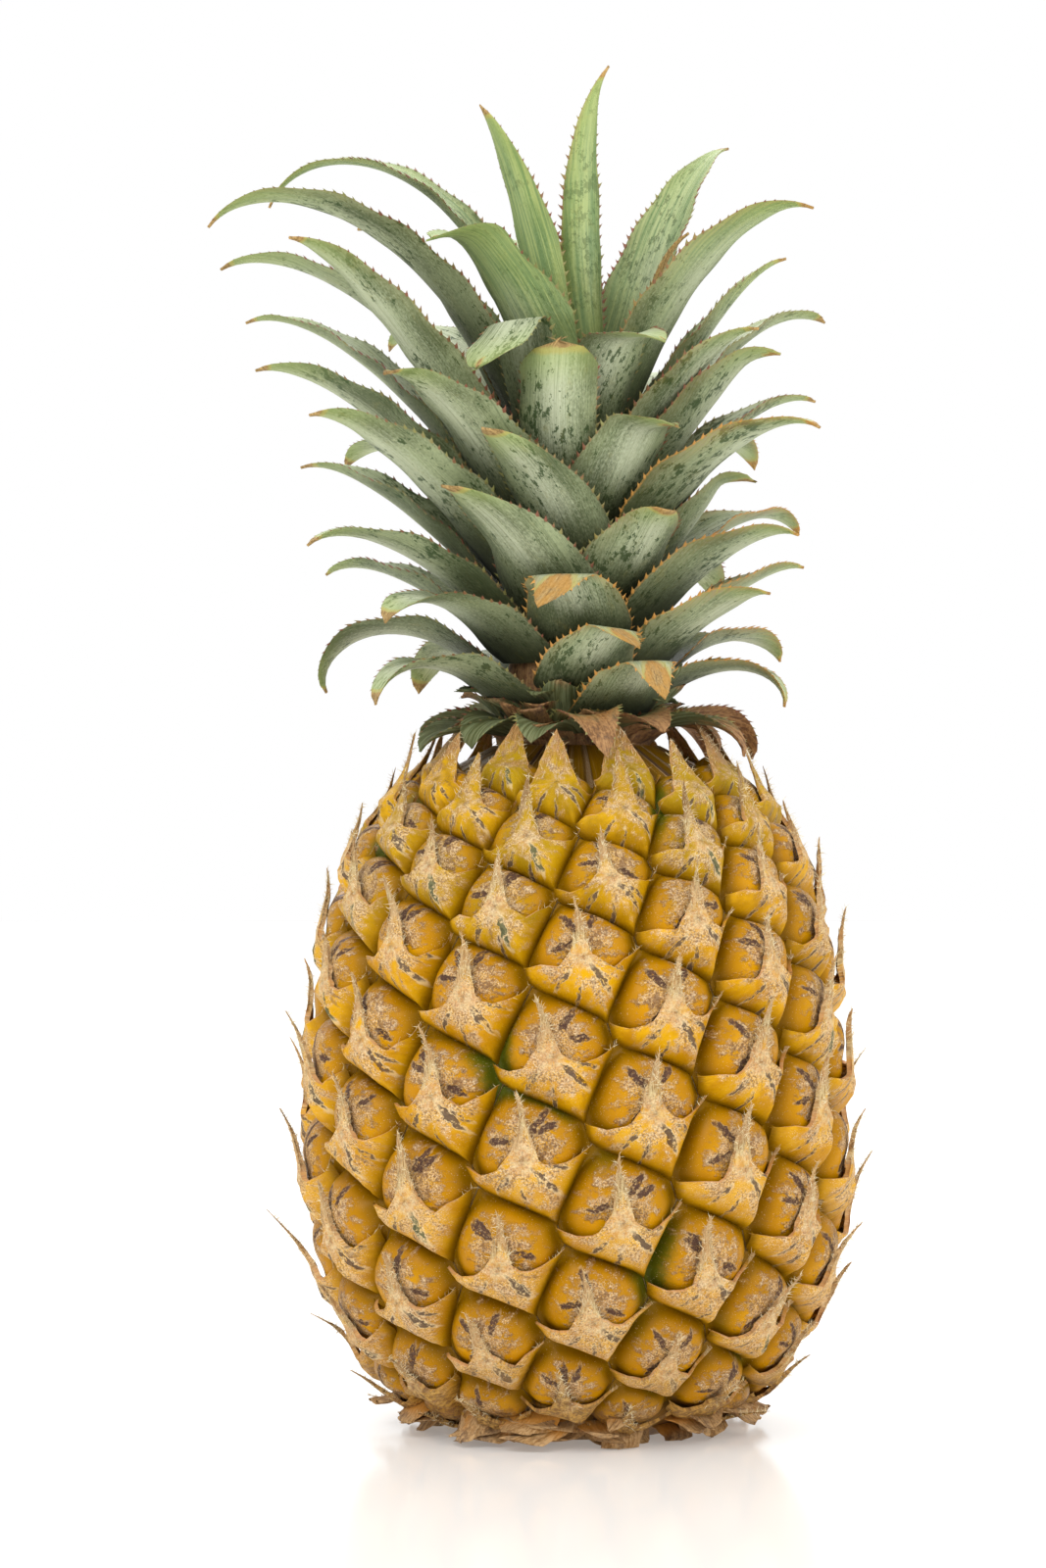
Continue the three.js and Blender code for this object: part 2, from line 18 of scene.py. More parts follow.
import bmesh
import bpy
import numpy as np
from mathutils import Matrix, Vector


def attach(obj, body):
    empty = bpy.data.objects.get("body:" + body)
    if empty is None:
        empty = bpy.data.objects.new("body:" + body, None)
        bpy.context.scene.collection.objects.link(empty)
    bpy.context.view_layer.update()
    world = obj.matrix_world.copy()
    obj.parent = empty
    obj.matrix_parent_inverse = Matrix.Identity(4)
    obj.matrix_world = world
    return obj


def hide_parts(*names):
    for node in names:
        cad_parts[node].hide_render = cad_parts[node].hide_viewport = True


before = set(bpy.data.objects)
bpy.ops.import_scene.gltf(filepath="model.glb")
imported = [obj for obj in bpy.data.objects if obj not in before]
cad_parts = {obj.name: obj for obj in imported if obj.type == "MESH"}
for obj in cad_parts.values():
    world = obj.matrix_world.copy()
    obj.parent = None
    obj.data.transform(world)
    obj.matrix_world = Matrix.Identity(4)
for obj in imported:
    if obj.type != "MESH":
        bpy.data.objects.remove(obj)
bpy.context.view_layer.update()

Array = np.ndarray
Material = bpy.types.Material
Piece = bpy.types.Object
Socket = bpy.types.NodeSocket
Colour = str | Socket
Place = tuple[float, float, float]
Knots = tuple[tuple[float, float], ...]

LOG = logging.getLogger("pineapple")
BODY = "root"
MM = 0.001
PI = math.pi
TAU = 2 * PI
GOLDEN_ANGLE = math.radians(137.508)


class Slot(Enum):
    """The record's material slots."""

    RIND = "rind"
    STEM = "crown_stem"
    LEAF = "leaf"


# ======== numbers


def sway(index: Array | float, use: int, seed: int) -> Array | float:
    """Gives a repeatable random number for an index.

    Args:
        index: The number, or numbers, of the thing that is varied.
        use: Which of the thing's properties is varied.
        seed: The seed of its kind.

    Returns:
        A number from -1 to 1 for each index.
    """
    x = np.sin(np.asarray(index) * 127.1 + use * 311.7 + seed * 74.7) * 43758.5453
    return 2 * (x - np.floor(x)) - 1


def smooth(x: Array | float, low: float, high: float) -> Array | float:
    """Steps smoothly from 0 to 1.

    Args:
        x: The value, or values.
        low: Where the step starts.
        high: Where it ends.

    Returns:
        The share, from 0 at low to 1 at high.
    """
    t = np.clip((np.asarray(x) - low) / (high - low), 0, 1)
    return t * t * (3 - 2 * t)


def lerp(a: float, b: float, share: Array | float) -> Array | float:
    """Gives the value at a share of the way from a to b."""
    return a + (b - a) * share


def unit(ways: Array) -> Array:
    """Gives vectors of length 1 in the same directions."""
    return ways / np.maximum(np.linalg.norm(ways, axis=1), 1e-6)[:, None]


def tint(code: str) -> tuple[float, float, float, float]:
    """Turns a colour as it is seen into the one that a shader takes.

    Args:
        code: Six hexadecimal digits, two each for red, green and blue.

    Returns:
        The linear colour, with an alpha of 1.
    """
    seen = [int(code[i : i + 2], 16) / 255 for i in (0, 2, 4)]
    linear = [c / 12.92 if c <= 0.04045 else ((c + 0.055) / 1.055) ** 2.4 for c in seen]
    return (linear[0], linear[1], linear[2], 1.0)


# ======== meshes


@dataclass
class Skin:
    """A mesh in the making: points in millimetres, faces, and named values of the points."""

    points: list[Array] = field(default_factory=list)
    faces: list[Array] = field(default_factory=list)
    values: dict[str, list[Array]] = field(default_factory=dict)
    count: int = 0

    def add(self, points: Array, faces: Array, **values: Array) -> None:
        """Adds a patch.

        Args:
            points: One row of x, y and z a point.
            faces: One row of point numbers a face, counted within the patch.
            **values: One number or vector a point, the same names for every patch.
        """
        self.points.append(points)
        self.faces.append(faces + self.count)
        for name, value in values.items():
            self.values.setdefault(name, []).append(value)
        self.count += len(points)

    def build(self, name: str, material: Material, weld: float = 0.0) -> Piece:
        """Makes the object.

        Args:
            name: The piece's name.
            material: Its finish.
            weld: Points closer than this, in millimetres, become one. 0 leaves them.

        Returns:
            The object, linked to the scene, at the origin.
        """
        mesh = bpy.data.meshes.new(name)
        points = np.concatenate(self.points) * MM
        faces = [face for patch in self.faces for face in patch.tolist()]
        mesh.from_pydata(points.tolist(), [], faces)
        for key, patches in self.values.items():
            value = np.concatenate(patches)
            kind = "FLOAT" if value.ndim == 1 else "FLOAT_VECTOR"
            spread = mesh.attributes.new(key, kind, "POINT")
            numbers = value.astype(np.float32).ravel()
            spread.data.foreach_set("value" if value.ndim == 1 else "vector", numbers)
        mesh.materials.append(material)
        piece = bpy.data.objects.new(name, mesh)
        bpy.context.scene.collection.objects.link(piece)
        if weld:
            modifier = piece.modifiers.new("weld", "WELD")
            modifier.merge_threshold = weld * MM
            bake_modifiers(piece)
        shade_smooth(piece)
        return piece


def shade_smooth(piece: Piece, sharp_deg: float = 62.0) -> None:
    """Shades a piece smoothly but for its sharp edges.

    Args:
        piece: The object.
        sharp_deg: An edge that turns more than this stays sharp.
    """
    mesh = piece.data
    mesh.polygons.foreach_set("use_smooth", np.ones(len(mesh.polygons), dtype=bool))
    mesh.set_sharp_from_angle(angle=math.radians(sharp_deg))
    mesh.update()


def grid_faces(rows: int, columns: int, closed: bool = False) -> Array:
    """Numbers the faces of a grid of points.

    Args:
        rows: How many rows of points there are.
        columns: How many points a row has.
        closed: Whether each row closes on itself.

    Returns:
        One row of four point numbers a face.
    """
    across = np.arange(columns if closed else columns - 1)
    up = np.arange(rows - 1)[:, None] * columns
    near, far = up + across, up + (across + 1) % columns
    return np.stack([near, far, far + columns, near + columns], axis=-1).reshape(-1, 4)


def halved(faces: Array) -> Array:
    """Cuts four-sided faces into triangles."""
    return np.vstack([faces[:, [0, 1, 2]], faces[:, [0, 2, 3]]])


def single_shape(name: str, points: list, faces: list) -> Piece:
    """Makes a plain object of a few faces.

    Args:
        name: Its name.
        points: Its points, in metres.
        faces: The point numbers of each face.

    Returns:
        The object, not linked to the scene.
    """
    mesh = bpy.data.meshes.new(name)
    mesh.from_pydata(points, [], faces)
    return bpy.data.objects.new(name, mesh)


def bake_modifiers(piece: Piece) -> None:
    """Turns a piece with its modifiers into a plain mesh.

    Args:
        piece: The object, which keeps its name and loses its modifiers.
    """
    shaped = piece.evaluated_get(bpy.context.evaluated_depsgraph_get())
    mesh = bpy.data.meshes.new_from_object(shaped)
    old = piece.data
    piece.modifiers.clear()
    piece.data = mesh
    mesh.name = piece.name
    bpy.data.meshes.remove(old)


def hand_over(piece: Piece, node: str) -> None:
    """Gives a finished piece to the frame.

    Args:
        piece: The object.
        node: The part's node that it stands for.
    """
    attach(piece, BODY)
    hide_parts(node)
    piece.data.calc_loop_triangles()
    LOG.info("%s: %d triangles", piece.name, len(piece.data.loop_triangles))


# ======== node trees


def socket_of(sockets: Iterable[Socket], key: str | int) -> Socket:
    """Finds a node's socket.

    Args:
        sockets: The node's inputs or outputs.
        key: The socket's identifier, its name or its number.

    Returns:
        The socket.
    """
    listed = list(sockets)
    if isinstance(key, int):
        return listed[key]
    for found in listed:
        if found.identifier == key:
            return found
    return next(found for found in listed if found.name == key and found.enabled)


class Tree:
    """A node tree and the one way to add a node to it."""

    def __init__(self, nodes: bpy.types.NodeTree) -> None:
        """Wraps an empty node tree."""
        self.nodes = nodes

    def add(self, kind: str, settings: dict | None = None, inputs: dict | None = None) -> bpy.types.Node:
        """Adds a node.

        Args:
            kind: The node's type.
            settings: Its properties, set first.
            inputs: The value or link of each socket, by identifier, name or number.

        Returns:
            The node.
        """
        node = self.nodes.nodes.new(kind)
        for key, value in (settings or {}).items():
            setattr(node, key, value)
        for key, value in (inputs or {}).items():
            self.feed(socket_of(node.inputs, key), value)
        return node

    def feed(self, target: Socket, value: object) -> None:
        """Links or sets a socket.

        Args:
            target: The input.
            value: A Value, a socket, or something that the socket can hold.
        """
        if isinstance(value, Value):
            value = value.socket
        if isinstance(value, Socket):
            self.nodes.links.new(value, target)
        else:
            target.default_value = value


class Value:
    """A number that a node gives. The usual operators add Math nodes to its tree."""

    def __init__(self, tree: Tree, socket: Socket) -> None:
        """Wraps an output socket of a tree's node."""
        self.tree = tree
        self.socket = socket

    def _maths(self, operation: str, *numbers: Value | float) -> Value:
        """Adds a Math node.

        Args:
            operation: What it does.
            *numbers: Its inputs, in order.

        Returns:
            Its result.
        """
        inputs = dict(enumerate(numbers))
        node = self.tree.add("ShaderNodeMath", {"operation": operation}, inputs)
        return Value(self.tree, node.outputs[0])

    def __add__(self, other: Value | float) -> Value:
        """Adds."""
        return self._maths("ADD", self, other)

    __radd__ = __add__

    def __sub__(self, other: Value | float) -> Value:
        """Takes the other away."""
        return self._maths("SUBTRACT", self, other)

    def __rsub__(self, other: Value | float) -> Value:
        """Is taken away from the other."""
        return self._maths("SUBTRACT", other, self)

    def __mul__(self, other: Value | float) -> Value:
        """Multiplies."""
        return self._maths("MULTIPLY", self, other)

    __rmul__ = __mul__

    def __truediv__(self, other: Value | float) -> Value:
        """Divides by the other."""
        return self._maths("DIVIDE", self, other)

    def __abs__(self) -> Value:
        """Drops the sign."""
        return self._maths("ABSOLUTE", self)

    def __pow__(self, power: float) -> Value:
        """Raises to a power."""
        return self._maths("POWER", self, power)

    def sin(self) -> Value:
        """Gives the sine."""
        return self._maths("SINE", self)

    def cos(self) -> Value:
        """Gives the cosine."""
        return self._maths("COSINE", self)

    def angle_from(self, other: Value | float) -> Value:
        """Gives the angle whose tangent is this over the other."""
        return self._maths("ARCTAN2", self, other)

    def most(self, other: Value | float) -> Value:
        """Gives the larger of the two."""
        return self._maths("MAXIMUM", self, other)

    def step(self, low: float, high: float) -> Value:
        """Steps smoothly from 0 to 1.

        Args:
            low: Where the step starts. It may be the larger, for a step down.
            high: Where it ends.

        Returns:
            The share.
        """
        falls = low > high
        inputs = {
            "Value": self,
            "From Min": min(low, high),
            "From Max": max(low, high),
            "To Min": float(falls),
            "To Max": float(not falls),
        }
        node = self.tree.add("ShaderNodeMapRange", {"interpolation_type": "SMOOTHSTEP"}, inputs)
        return Value(self.tree, node.outputs[0])


class Paint(Tree):
    """The node tree of one material."""

    def __init__(self, name: str) -> None:
        """Starts an empty material.

        Args:
            name: The material's name.
        """
        self.material = bpy.data.materials.new(name)
        self.material.use_nodes = True
        super().__init__(self.material.node_tree)
        self.nodes.nodes.clear()

    def vector(self, name: str) -> Socket:
        """Reads a vector that the mesh carries at its points."""
        node = self.add("ShaderNodeAttribute", {"attribute_type": "GEOMETRY", "attribute_name": name})
        return socket_of(node.outputs, "Vector")

    def number(self, name: str) -> Value:
        """Reads a number that the mesh carries at its points."""
        node = self.add("ShaderNodeAttribute", {"attribute_type": "GEOMETRY", "attribute_name": name})
        return Value(self, socket_of(node.outputs, "Fac"))

    def place(self) -> Socket:
        """Reads the place on the object, in metres."""
        return socket_of(self.add("ShaderNodeTexCoord").outputs, "Object")

    def split(self, vector: Socket) -> tuple[Value, Value, Value]:
        """Gives a vector's three numbers."""
        node = self.add("ShaderNodeSeparateXYZ", inputs={0: vector})
        return tuple(Value(self, out) for out in node.outputs)

    def join(self, x: Value | float, y: Value | float, z: Value | float) -> Socket:
        """Makes a vector of three numbers."""
        return self.add("ShaderNodeCombineXYZ", inputs={0: x, 1: y, 2: z}).outputs[0]

    def noise(self, vector: Socket, scale: float, detail: float, rough: float = 0.5) -> Value:
        """Adds a noise texture.

        Args:
            vector: Its coordinates.
            scale: How fine it is.
            detail: How many finer layers it has.
            rough: How strong they are.

        Returns:
            The noise, about 0.5.
        """
        inputs = {"Vector": vector, "Scale": scale, "Detail": detail, "Roughness": rough}
        return Value(self, self.add("ShaderNodeTexNoise", inputs=inputs).outputs[0])

    def grain(self, vector: Socket, x: float, y: float, detail: float, rough: float) -> Value:
        """Adds a noise with its own fineness across and along, and that many layers."""
        place = self.add("ShaderNodeMapping", inputs={"Vector": vector, "Scale": (x, y, 1.0)}).outputs[0]
        return self.noise(place, 1.0, detail, rough)

    def dots(self, vector: Socket, scale: float, size: float) -> Value:
        """Scatters small soft dots.

        Args:
            vector: Their coordinates.
            scale: How many there are in a unit of length.
            size: Their radius, as a share of their spacing.

        Returns:
            1 in a dot and 0 outside.
        """
        node = self.add("ShaderNodeTexVoronoi", {"feature": "F1"}, {"Vector": vector, "Scale": scale})
        return Value(self, socket_of(node.outputs, "Distance")).step(size, size * 0.6)

    def mix(self, share: Value, low: Colour, high: Colour) -> Socket:
        """Mixes two colours.

        Args:
            share: How much of the second shows.
            low: The first colour, as six hexadecimal digits or a socket.
            high: The second colour.

        Returns:
            The mixture.
        """
        low, high = (tint(colour) if isinstance(colour, str) else colour for colour in (low, high))
        inputs = {"Factor_Float": share, "A_Color": low, "B_Color": high}
        node = self.add("ShaderNodeMix", {"data_type": "RGBA", "clamp_factor": True}, inputs)
        return socket_of(node.outputs, "Result_Color")

    def finish(
        self, colour: object, rough: object, relief: Value | None = None, depth: float = 0.0, **fixed: object
    ) -> Material:
        """Closes the material with one shader.

        Args:
            colour: The base colour.
            rough: The roughness.
            relief: The height of the fine relief, from 0 to 1.
            depth: What a height of 1 stands for, in millimetres.
            **fixed: Other sockets of the shader, with underscores for spaces, each one number all over.

        Returns:
            The material.
        """
        inputs = {"Base Color": colour, "Roughness": rough}
        inputs |= {key.replace("_", " "): value for key, value in fixed.items()}
        if relief is not None:
            bump = {"Strength": 1.0, "Distance": depth * MM, "Height": relief}
            inputs["Normal"] = self.add("ShaderNodeBump", inputs=bump).outputs[0]
        shader = self.add("ShaderNodeBsdfPrincipled", inputs=inputs)
        self.add("ShaderNodeOutputMaterial", inputs={"Surface": shader.outputs[0]})
        return self.material


class Grower(Tree):
    """A Geometry Nodes tree with named inputs, applied to a piece as a plain mesh."""

    SOCKETS = {float: "NodeSocketFloat", int: "NodeSocketInt"}

    def __init__(self, name: str, sizes: dict[str, float]) -> None:
        """Starts a tree.

        Args:
            name: The tree's name.
            sizes: Its inputs' names and values. Lengths are in metres.
        """
        super().__init__(bpy.data.node_groups.new(name, "GeometryNodeTree"))
        self.sizes = dict(sizes)
        self._socket("Geometry", "NodeSocketGeometry", "OUTPUT")
        self._socket("Geometry", "NodeSocketGeometry")
        self.keys = {key: self._socket(key, self.SOCKETS[type(value)]) for key, value in sizes.items()}
        self.keys["Shape"] = self._socket("Shape", "NodeSocketObject")
        self.start = self.add("NodeGroupInput")

    def _socket(self, name: str, kind: str, side: str = "INPUT") -> str:
        """Adds an input or output to the tree and gives its identifier."""
        return self.nodes.interface.new_socket(name, in_out=side, socket_type=kind).identifier

    def given(self, name: str) -> Socket:
        """Gives the output that carries an input of the tree."""
        return socket_of(self.start.outputs, name)

    def read(self, name: str, kind: str = "FLOAT") -> Socket:
        """Reads a value that the mesh carries at its points."""
        return self.add("GeometryNodeInputNamedAttribute", {"data_type": kind}, {"Name": name}).outputs[0]

    def random(self, seed: int | Socket) -> Socket:
        """Gives each point a random number between the tree's "Least" and "Most" inputs.

        Args:
            seed: The seed, or the socket that carries it.

        Returns:
            The number's socket.
        """
        inputs = {"Min_001": self.given("Least"), "Max_001": self.given("Most"), "Seed": seed}
        node = self.add("FunctionNodeRandomValue", {"data_type": "FLOAT"}, inputs)
        return socket_of(node.outputs, "Value_001")

    def vectors(self, operation: str, *inputs: object) -> Socket:
        """Adds a Vector Math node and gives its result."""
        return self.add("ShaderNodeVectorMath", {"operation": operation}, dict(enumerate(inputs))).outputs[0]

    def place(self, points: object, turned: object, scale: object, finish: Material) -> Socket:
        """Sets the tree's shape on points, as real geometry with its own finish.

        Args:
            points: The points.
            turned: Each one's rotation.
            scale: Each one's size.
            finish: The shape's material.

        Returns:
            The geometry.
        """
        shape = self.add("GeometryNodeObjectInfo", inputs={"Object": self.given("Shape")})
        single = socket_of(shape.outputs, "Geometry")
        inputs = {"Points": points, "Instance": single, "Rotation": turned, "Scale": scale}
        placed = self.add("GeometryNodeInstanceOnPoints", inputs=inputs).outputs[0]
        real = self.add("GeometryNodeRealizeInstances", inputs={"Geometry": placed}).outputs[0]
        return self.add("GeometryNodeSetMaterial", inputs={"Geometry": real, "Material": finish}).outputs[0]

    def close(self, geometry: Socket) -> None:
        """Links what the tree makes to its output."""
        self.add("NodeGroupOutput", inputs={"Geometry": geometry})

    def apply(self, piece: Piece, shape: Piece, **sizes: float) -> None:
        """Grows the piece's mesh.

        Args:
            piece: The object, whose mesh is replaced.
            shape: The single shape that is repeated.
            **sizes: Inputs that differ from the tree's own.
        """
        modifier = piece.modifiers.new(self.nodes.name, "NODES")
        modifier.node_group = self.nodes
        for key, value in (self.sizes | sizes | {"Shape": shape}).items():
            modifier[self.keys[key]] = value
        bake_modifiers(piece)


# ======== the lattice of eyes


@dataclass
class Outline:
    """The fruit's outline over the crests of its eyes, and places on it."""

    knots: Knots = (
        (24, 1.5), (33, 4.5), (41, 11), (47, 21), (51.2, 31), (54, 43), (54.6, 56), (54, 72),
        (52.6, 88), (50.4, 101), (47.4, 111), (42.8, 121), (35.5, 130), (27, 135.5), (21, 137.5),
    )
    full_radius: float = 54.6
    floor_gap: float = 0.4
    steps: int = 400

    def __post_init__(self) -> None:
        """Runs a smooth curve through the knots and keeps its radius, height, outward normal and climb."""
        knots = np.array(self.knots, dtype=float)
        at = np.linspace(0, len(knots) - 1, self.steps + 1)
        i = np.minimum(at.astype(int), len(knots) - 2)
        t = (at - i)[:, None]
        p0, p1 = knots[np.maximum(i - 1, 0)], knots[i]
        p2, p3 = knots[i + 1], knots[np.minimum(i + 2, len(knots) - 1)]
        v0, v1 = (p2 - p0) / 2, (p3 - p1) / 2
        a, b = 2 * p1 - 2 * p2 + v0 + v1, -3 * p1 + 3 * p2 - 2 * v0 - v1
        points = ((a * t + b) * t + v0) * t + p1
        slopes = (3 * a * t + 2 * b) * t + v0
        slopes /= np.linalg.norm(slopes, axis=1)[:, None]
        pieces = np.linalg.norm(np.diff(points, axis=0), axis=1)
        middles = (points[1:, 0] + points[:-1, 0]) / 2
        self.climbs = np.concatenate([[0], np.cumsum(pieces / middles)])
        self.rows = np.column_stack([points, slopes[:, 1], -slopes[:, 0]])

    def on(self, azimuth: Array, climb: Array, height: Array | float) -> Array:
        """Gives places on the fruit.

        Args:
            azimuth: Directions round the axis, in radians.
            climb: Arc lengths up the outline, in shares of the local radius.
            height: How far each place is raised where the fruit is widest. It shrinks with the radius.

        Returns:
            One row of x, y and z a place, in millimetres.
        """
        r, z, nr, nz = (np.interp(climb, self.climbs, column) for column in self.rows.T)
        raised = height * r / self.full_radius
        reach = r + raised * nr
        level = np.maximum(z + raised * nz, self.floor_gap)
        return np.stack([reach * np.sin(azimuth), -reach * np.cos(azimuth), level], axis=-1)


@dataclass
class EyeLattice:
    """The spiral of eyes: where each one sits, and the groove round it."""

    count: int = 142
    divergence: float = math.radians(157.86)
    first_azimuth: float = math.radians(148.84)
    first_climb: float = 0.258
    rise: float = 0.0265
    flattening: float = 0.00003
    jitter: float = 0.011
    side_share: float = 0.7
    depth: float = 4.4
    seed: int = 3
    to_right: int = 7
    to_left: int = 9
    upward: int = 16

    def centre(self, k: int) -> Array:
        """Gives the place of an eye's middle.

        Args:
            k: The eye's number.

        Returns:
            The azimuth and climb.
        """
        return np.array([
            self.first_azimuth + k * self.divergence + self.jitter * sway(k, 1, self.seed),
            self.first_climb + k * self.rise - k * k * self.flattening + self.jitter * sway(k, 2, self.seed),
        ])

    @staticmethod
    def way(start: Array, end: Array) -> Array:
        """Gives the shortest way from one place on the fruit to another."""
        turn, climb = end - start
        return np.array([turn - TAU * round(turn / TAU), climb])

    def _corner(self, k: int, ahead: tuple[int, int], short_side: tuple[int, int]) -> Array:
        """Gives the place where three eyes' grooves meet.

        Args:
            k: The lowest of the three eyes.
            ahead: How much further up the spiral the other two are.
            short_side: The two eyes, counted from the first, whose shared side is drawn in.

        Returns:
            The azimuth and climb.
        """
        centre = self.centre(k)
        p, q = (self.way(centre, self.centre(k + step)) for step in ahead)
        a, b = (self.way(centre, self.centre(k + step)) for step in short_side)
        det = p[0] * q[1] - p[1] * q[0]
        pp, qq = p @ p / 2, q @ q / 2
        meeting = np.array([pp * q[1] - qq * p[1], qq * p[0] - pp * q[0]]) / det
        return centre + lerp((a + b) / 2, meeting, self.side_share)

    def right_corner(self, k: int) -> Array:
        """Gives the corner on an eye's upper right."""
        return self._corner(k, (self.to_right, self.upward), (0, self.to_right))

    def top_corner(self, k: int) -> Array:
        """Gives the corner on top of an eye."""
        return self._corner(k, (self.to_left, self.upward), (self.to_left, self.upward))

    def ring(self, k: int) -> Array:
        """Gives the six corners of the groove round an eye.

        Args:
            k: The eye's number.

        Returns:
            Ways from the eye's middle, anticlockwise from the right.
        """
        right, left, up = self.to_right, self.to_left, self.upward
        corners = (
            self.top_corner(k - left), self.right_corner(k), self.top_corner(k),
            self.right_corner(k - right), self.top_corner(k - up), self.right_corner(k - up),
        )
        centre = self.centre(k)
        return np.array([self.way(centre, corner) for corner in corners])


# ======== finishes of the fruit


@dataclass(frozen=True)
class Crack:
    """A lens-shaped crack that runs outwards from an eye's middle.

    "turn" is its direction and "spread" how much that differs between eyes, in radians. How far out it lies,
    its half length and its half width are in millimetres.
    """

    turn: float
    spread: float
    out: float
    length: float
    width: float

    def draw(self, x: Value, y: Value, eye: Value, warp: Value) -> Value:
        """Draws the crack.

        Args:
            x: The way across the eye, in millimetres.
            y: The way up it.
            eye: The eye's own random number.
            warp: A noise that bends the crack.

        Returns:
            More than 0 inside the crack and 1 in its middle.
        """
        theta = (eye * (7.0 + 3.0 * self.turn)).sin() * self.spread * 0.5 + self.turn
        c, s = theta.cos(), theta.sin()
        along = (x * c + y * s + warp * 1.8 - self.out) / self.length
        across = (y * c - x * s + warp * 2.2) / self.width
        return 1.0 - along * along - across * across


def draw_all(cracks: tuple[Crack, ...], x: Value, y: Value, eye: Value, warp: Value) -> Value:
    """Draws several cracks and gives the deepest at each place. The arguments are those of Crack.draw."""
    depths = [crack.draw(x, y, eye, warp) for crack in cracks]
    return functools.reduce(Value.most, depths)


@dataclass(frozen=True)
class Scurf:
    """The grainy scurf on an eye: a tan ground with cream grains and dark pits."""

    ground: str = "D09E4E"
    lilac: str = "B68C6A"
    ash: str = "DEC6A4"
    cream: str = "F0DBB2"
    pit: str = "6A4830"

    def lay(self, p: Paint, spot: Socket, body: object, cover: Value) -> Socket:
        """Lays the scurf over a colour.

        Args:
            p: The material's tree.
            spot: The place on the eye, in millimetres.
            body: The colour beneath.
            cover: How thickly it lies.

        Returns:
            The colour.
        """
        grain = p.noise(spot, 5.4, 3, 0.7)
        pits = p.noise(spot, 2.7, 4, 0.78)
        cloud = p.noise(spot, 0.5, 3, 0.6)
        body = p.mix(cover * 0.5, body, p.mix(cloud.step(0.38, 0.56), self.ground, self.lilac))
        body = p.mix(cover * cloud.step(0.54, 0.68) * 0.45, body, self.ash)
        body = p.mix((grain + cover * 0.18).step(0.65, 0.73) * 0.85, body, self.cream)
        return p.mix((pits + cover * 0.18).step(0.68, 0.75) * 0.8, body, self.pit)


@dataclass(frozen=True)
class RindFinish:
    """The waxy golden rind of the eyes' domes, with a scurfy middle and its cracks."""

    gold: str = "D89A00"
    amber: str = "C48600"
    olive: str = "948002"
    shadow: str = "A87400"
    groove: str = "7E5A00"
    tan: str = "AE823E"
    chalk: str = "CFB488"
    mauve: str = "7A583A"
    crack: str = "4E3630"
    leaf_green: str = "36500F"
    scurf: Scurf = Scurf()
    cracks: tuple[Crack, ...] = (
        Crack(1.65, 1.5, 4.6, 3.0, 0.8), Crack(3.3, 1.6, 4.8, 2.6, 0.7), Crack(0.35, 1.7, 5.0, 2.4, 0.75),
    )

    def material(self) -> Material:
        """Builds the finish.

        Returns:
            The material, which reads the points' "spot", "rim" and "eye".
        """
        p = Paint("rind")
        spot, rim, eye = p.vector("spot"), p.number("rim"), p.number("eye")
        x, y, _ = p.split(spot)
        level = p.split(p.place())[2] / MM
        broad = p.noise(spot, 0.1, 2)
        fine = p.noise(spot, 1.0, 4, 0.7)
        patchy = p.grain(spot, 0.3, 0.45, 4, 0.62)
        body = p.mix(broad.step(0.35, 0.65), self.gold, self.amber)
        ripe = (level + (eye - 0.5) * 40.0 + (broad - 0.5) * 60.0).step(90, 150)
        body = p.mix(ripe * 0.7, body, self.olive)
        # Painted shade: a band that darkens each dome towards its foot, more on its upper side under the
        # bract above, and darker still down in the groove.
        body = p.mix((rim + y * 0.02).step(0.3, 0.78) * 0.85, body, self.shadow)
        body = p.mix((rim + broad * 0.1).step(0.76, 1.0) * 0.9, body, self.groove)
        patch = p.noise(p.place(), 26, 2, 0.5).step(0.6, 0.68) * (rim + fine * 0.3).step(0.75, 1.1)
        body = p.mix(patch * 0.8, body, self.leaf_green)
        reach = (x * x * 0.8 + y * y) ** 0.5 / 7.2
        scurf = (1.2 - reach + (patchy - 0.5) * 2.4 + (fine - 0.5) * 0.7).step(0.2, 0.7)
        body = self.scurf.lay(p, spot, body, scurf)
        dark = p.noise(spot, 1.7, 5, 0.8)
        shade = (p.grain(spot, 0.45, 0.3, 4, 0.65) + (dark - 0.5) * 0.7).step(0.55, 0.6)
        body = p.mix(scurf * shade * 0.7, body, self.mauve)
        crack = draw_all(self.cracks, x, y, eye, p.noise(spot, 0.8, 3, 0.6) - 0.5)
        body = p.mix(crack.step(-0.5, 0.1) * 0.6 * fine.step(0.36, 0.56), body, self.chalk)
        body = p.mix(crack.step(-0.3, 0.3) * 0.85 * dark.step(0.4, 0.52), body, self.mauve)
        body = p.mix(crack.step(0.1, 0.5) * 0.85 * (dark * 0.6 + fine * 0.4).step(0.4, 0.5), body, self.crack)
        specks = p.dots(spot, 1.9, 0.2) * p.noise(spot, 0.35, 2).step(0.5, 0.62)
        body = p.mix(specks * 0.6, body, self.chalk)
        husk = p.mix(fine.step(0.4, 0.6), self.mauve, self.tan)
        body = p.mix((level + (fine - 0.5) * 8.0).step(10, 6) * 0.85, body, husk)
        relief = (fine + dark * 0.5) * scurf * 0.6 - crack.step(0.0, 0.5) * 0.6 + broad * 0.9
        return p.finish(body, 0.34 + scurf * 0.36, relief, 0.6, Specular_IOR_Level=0.1)


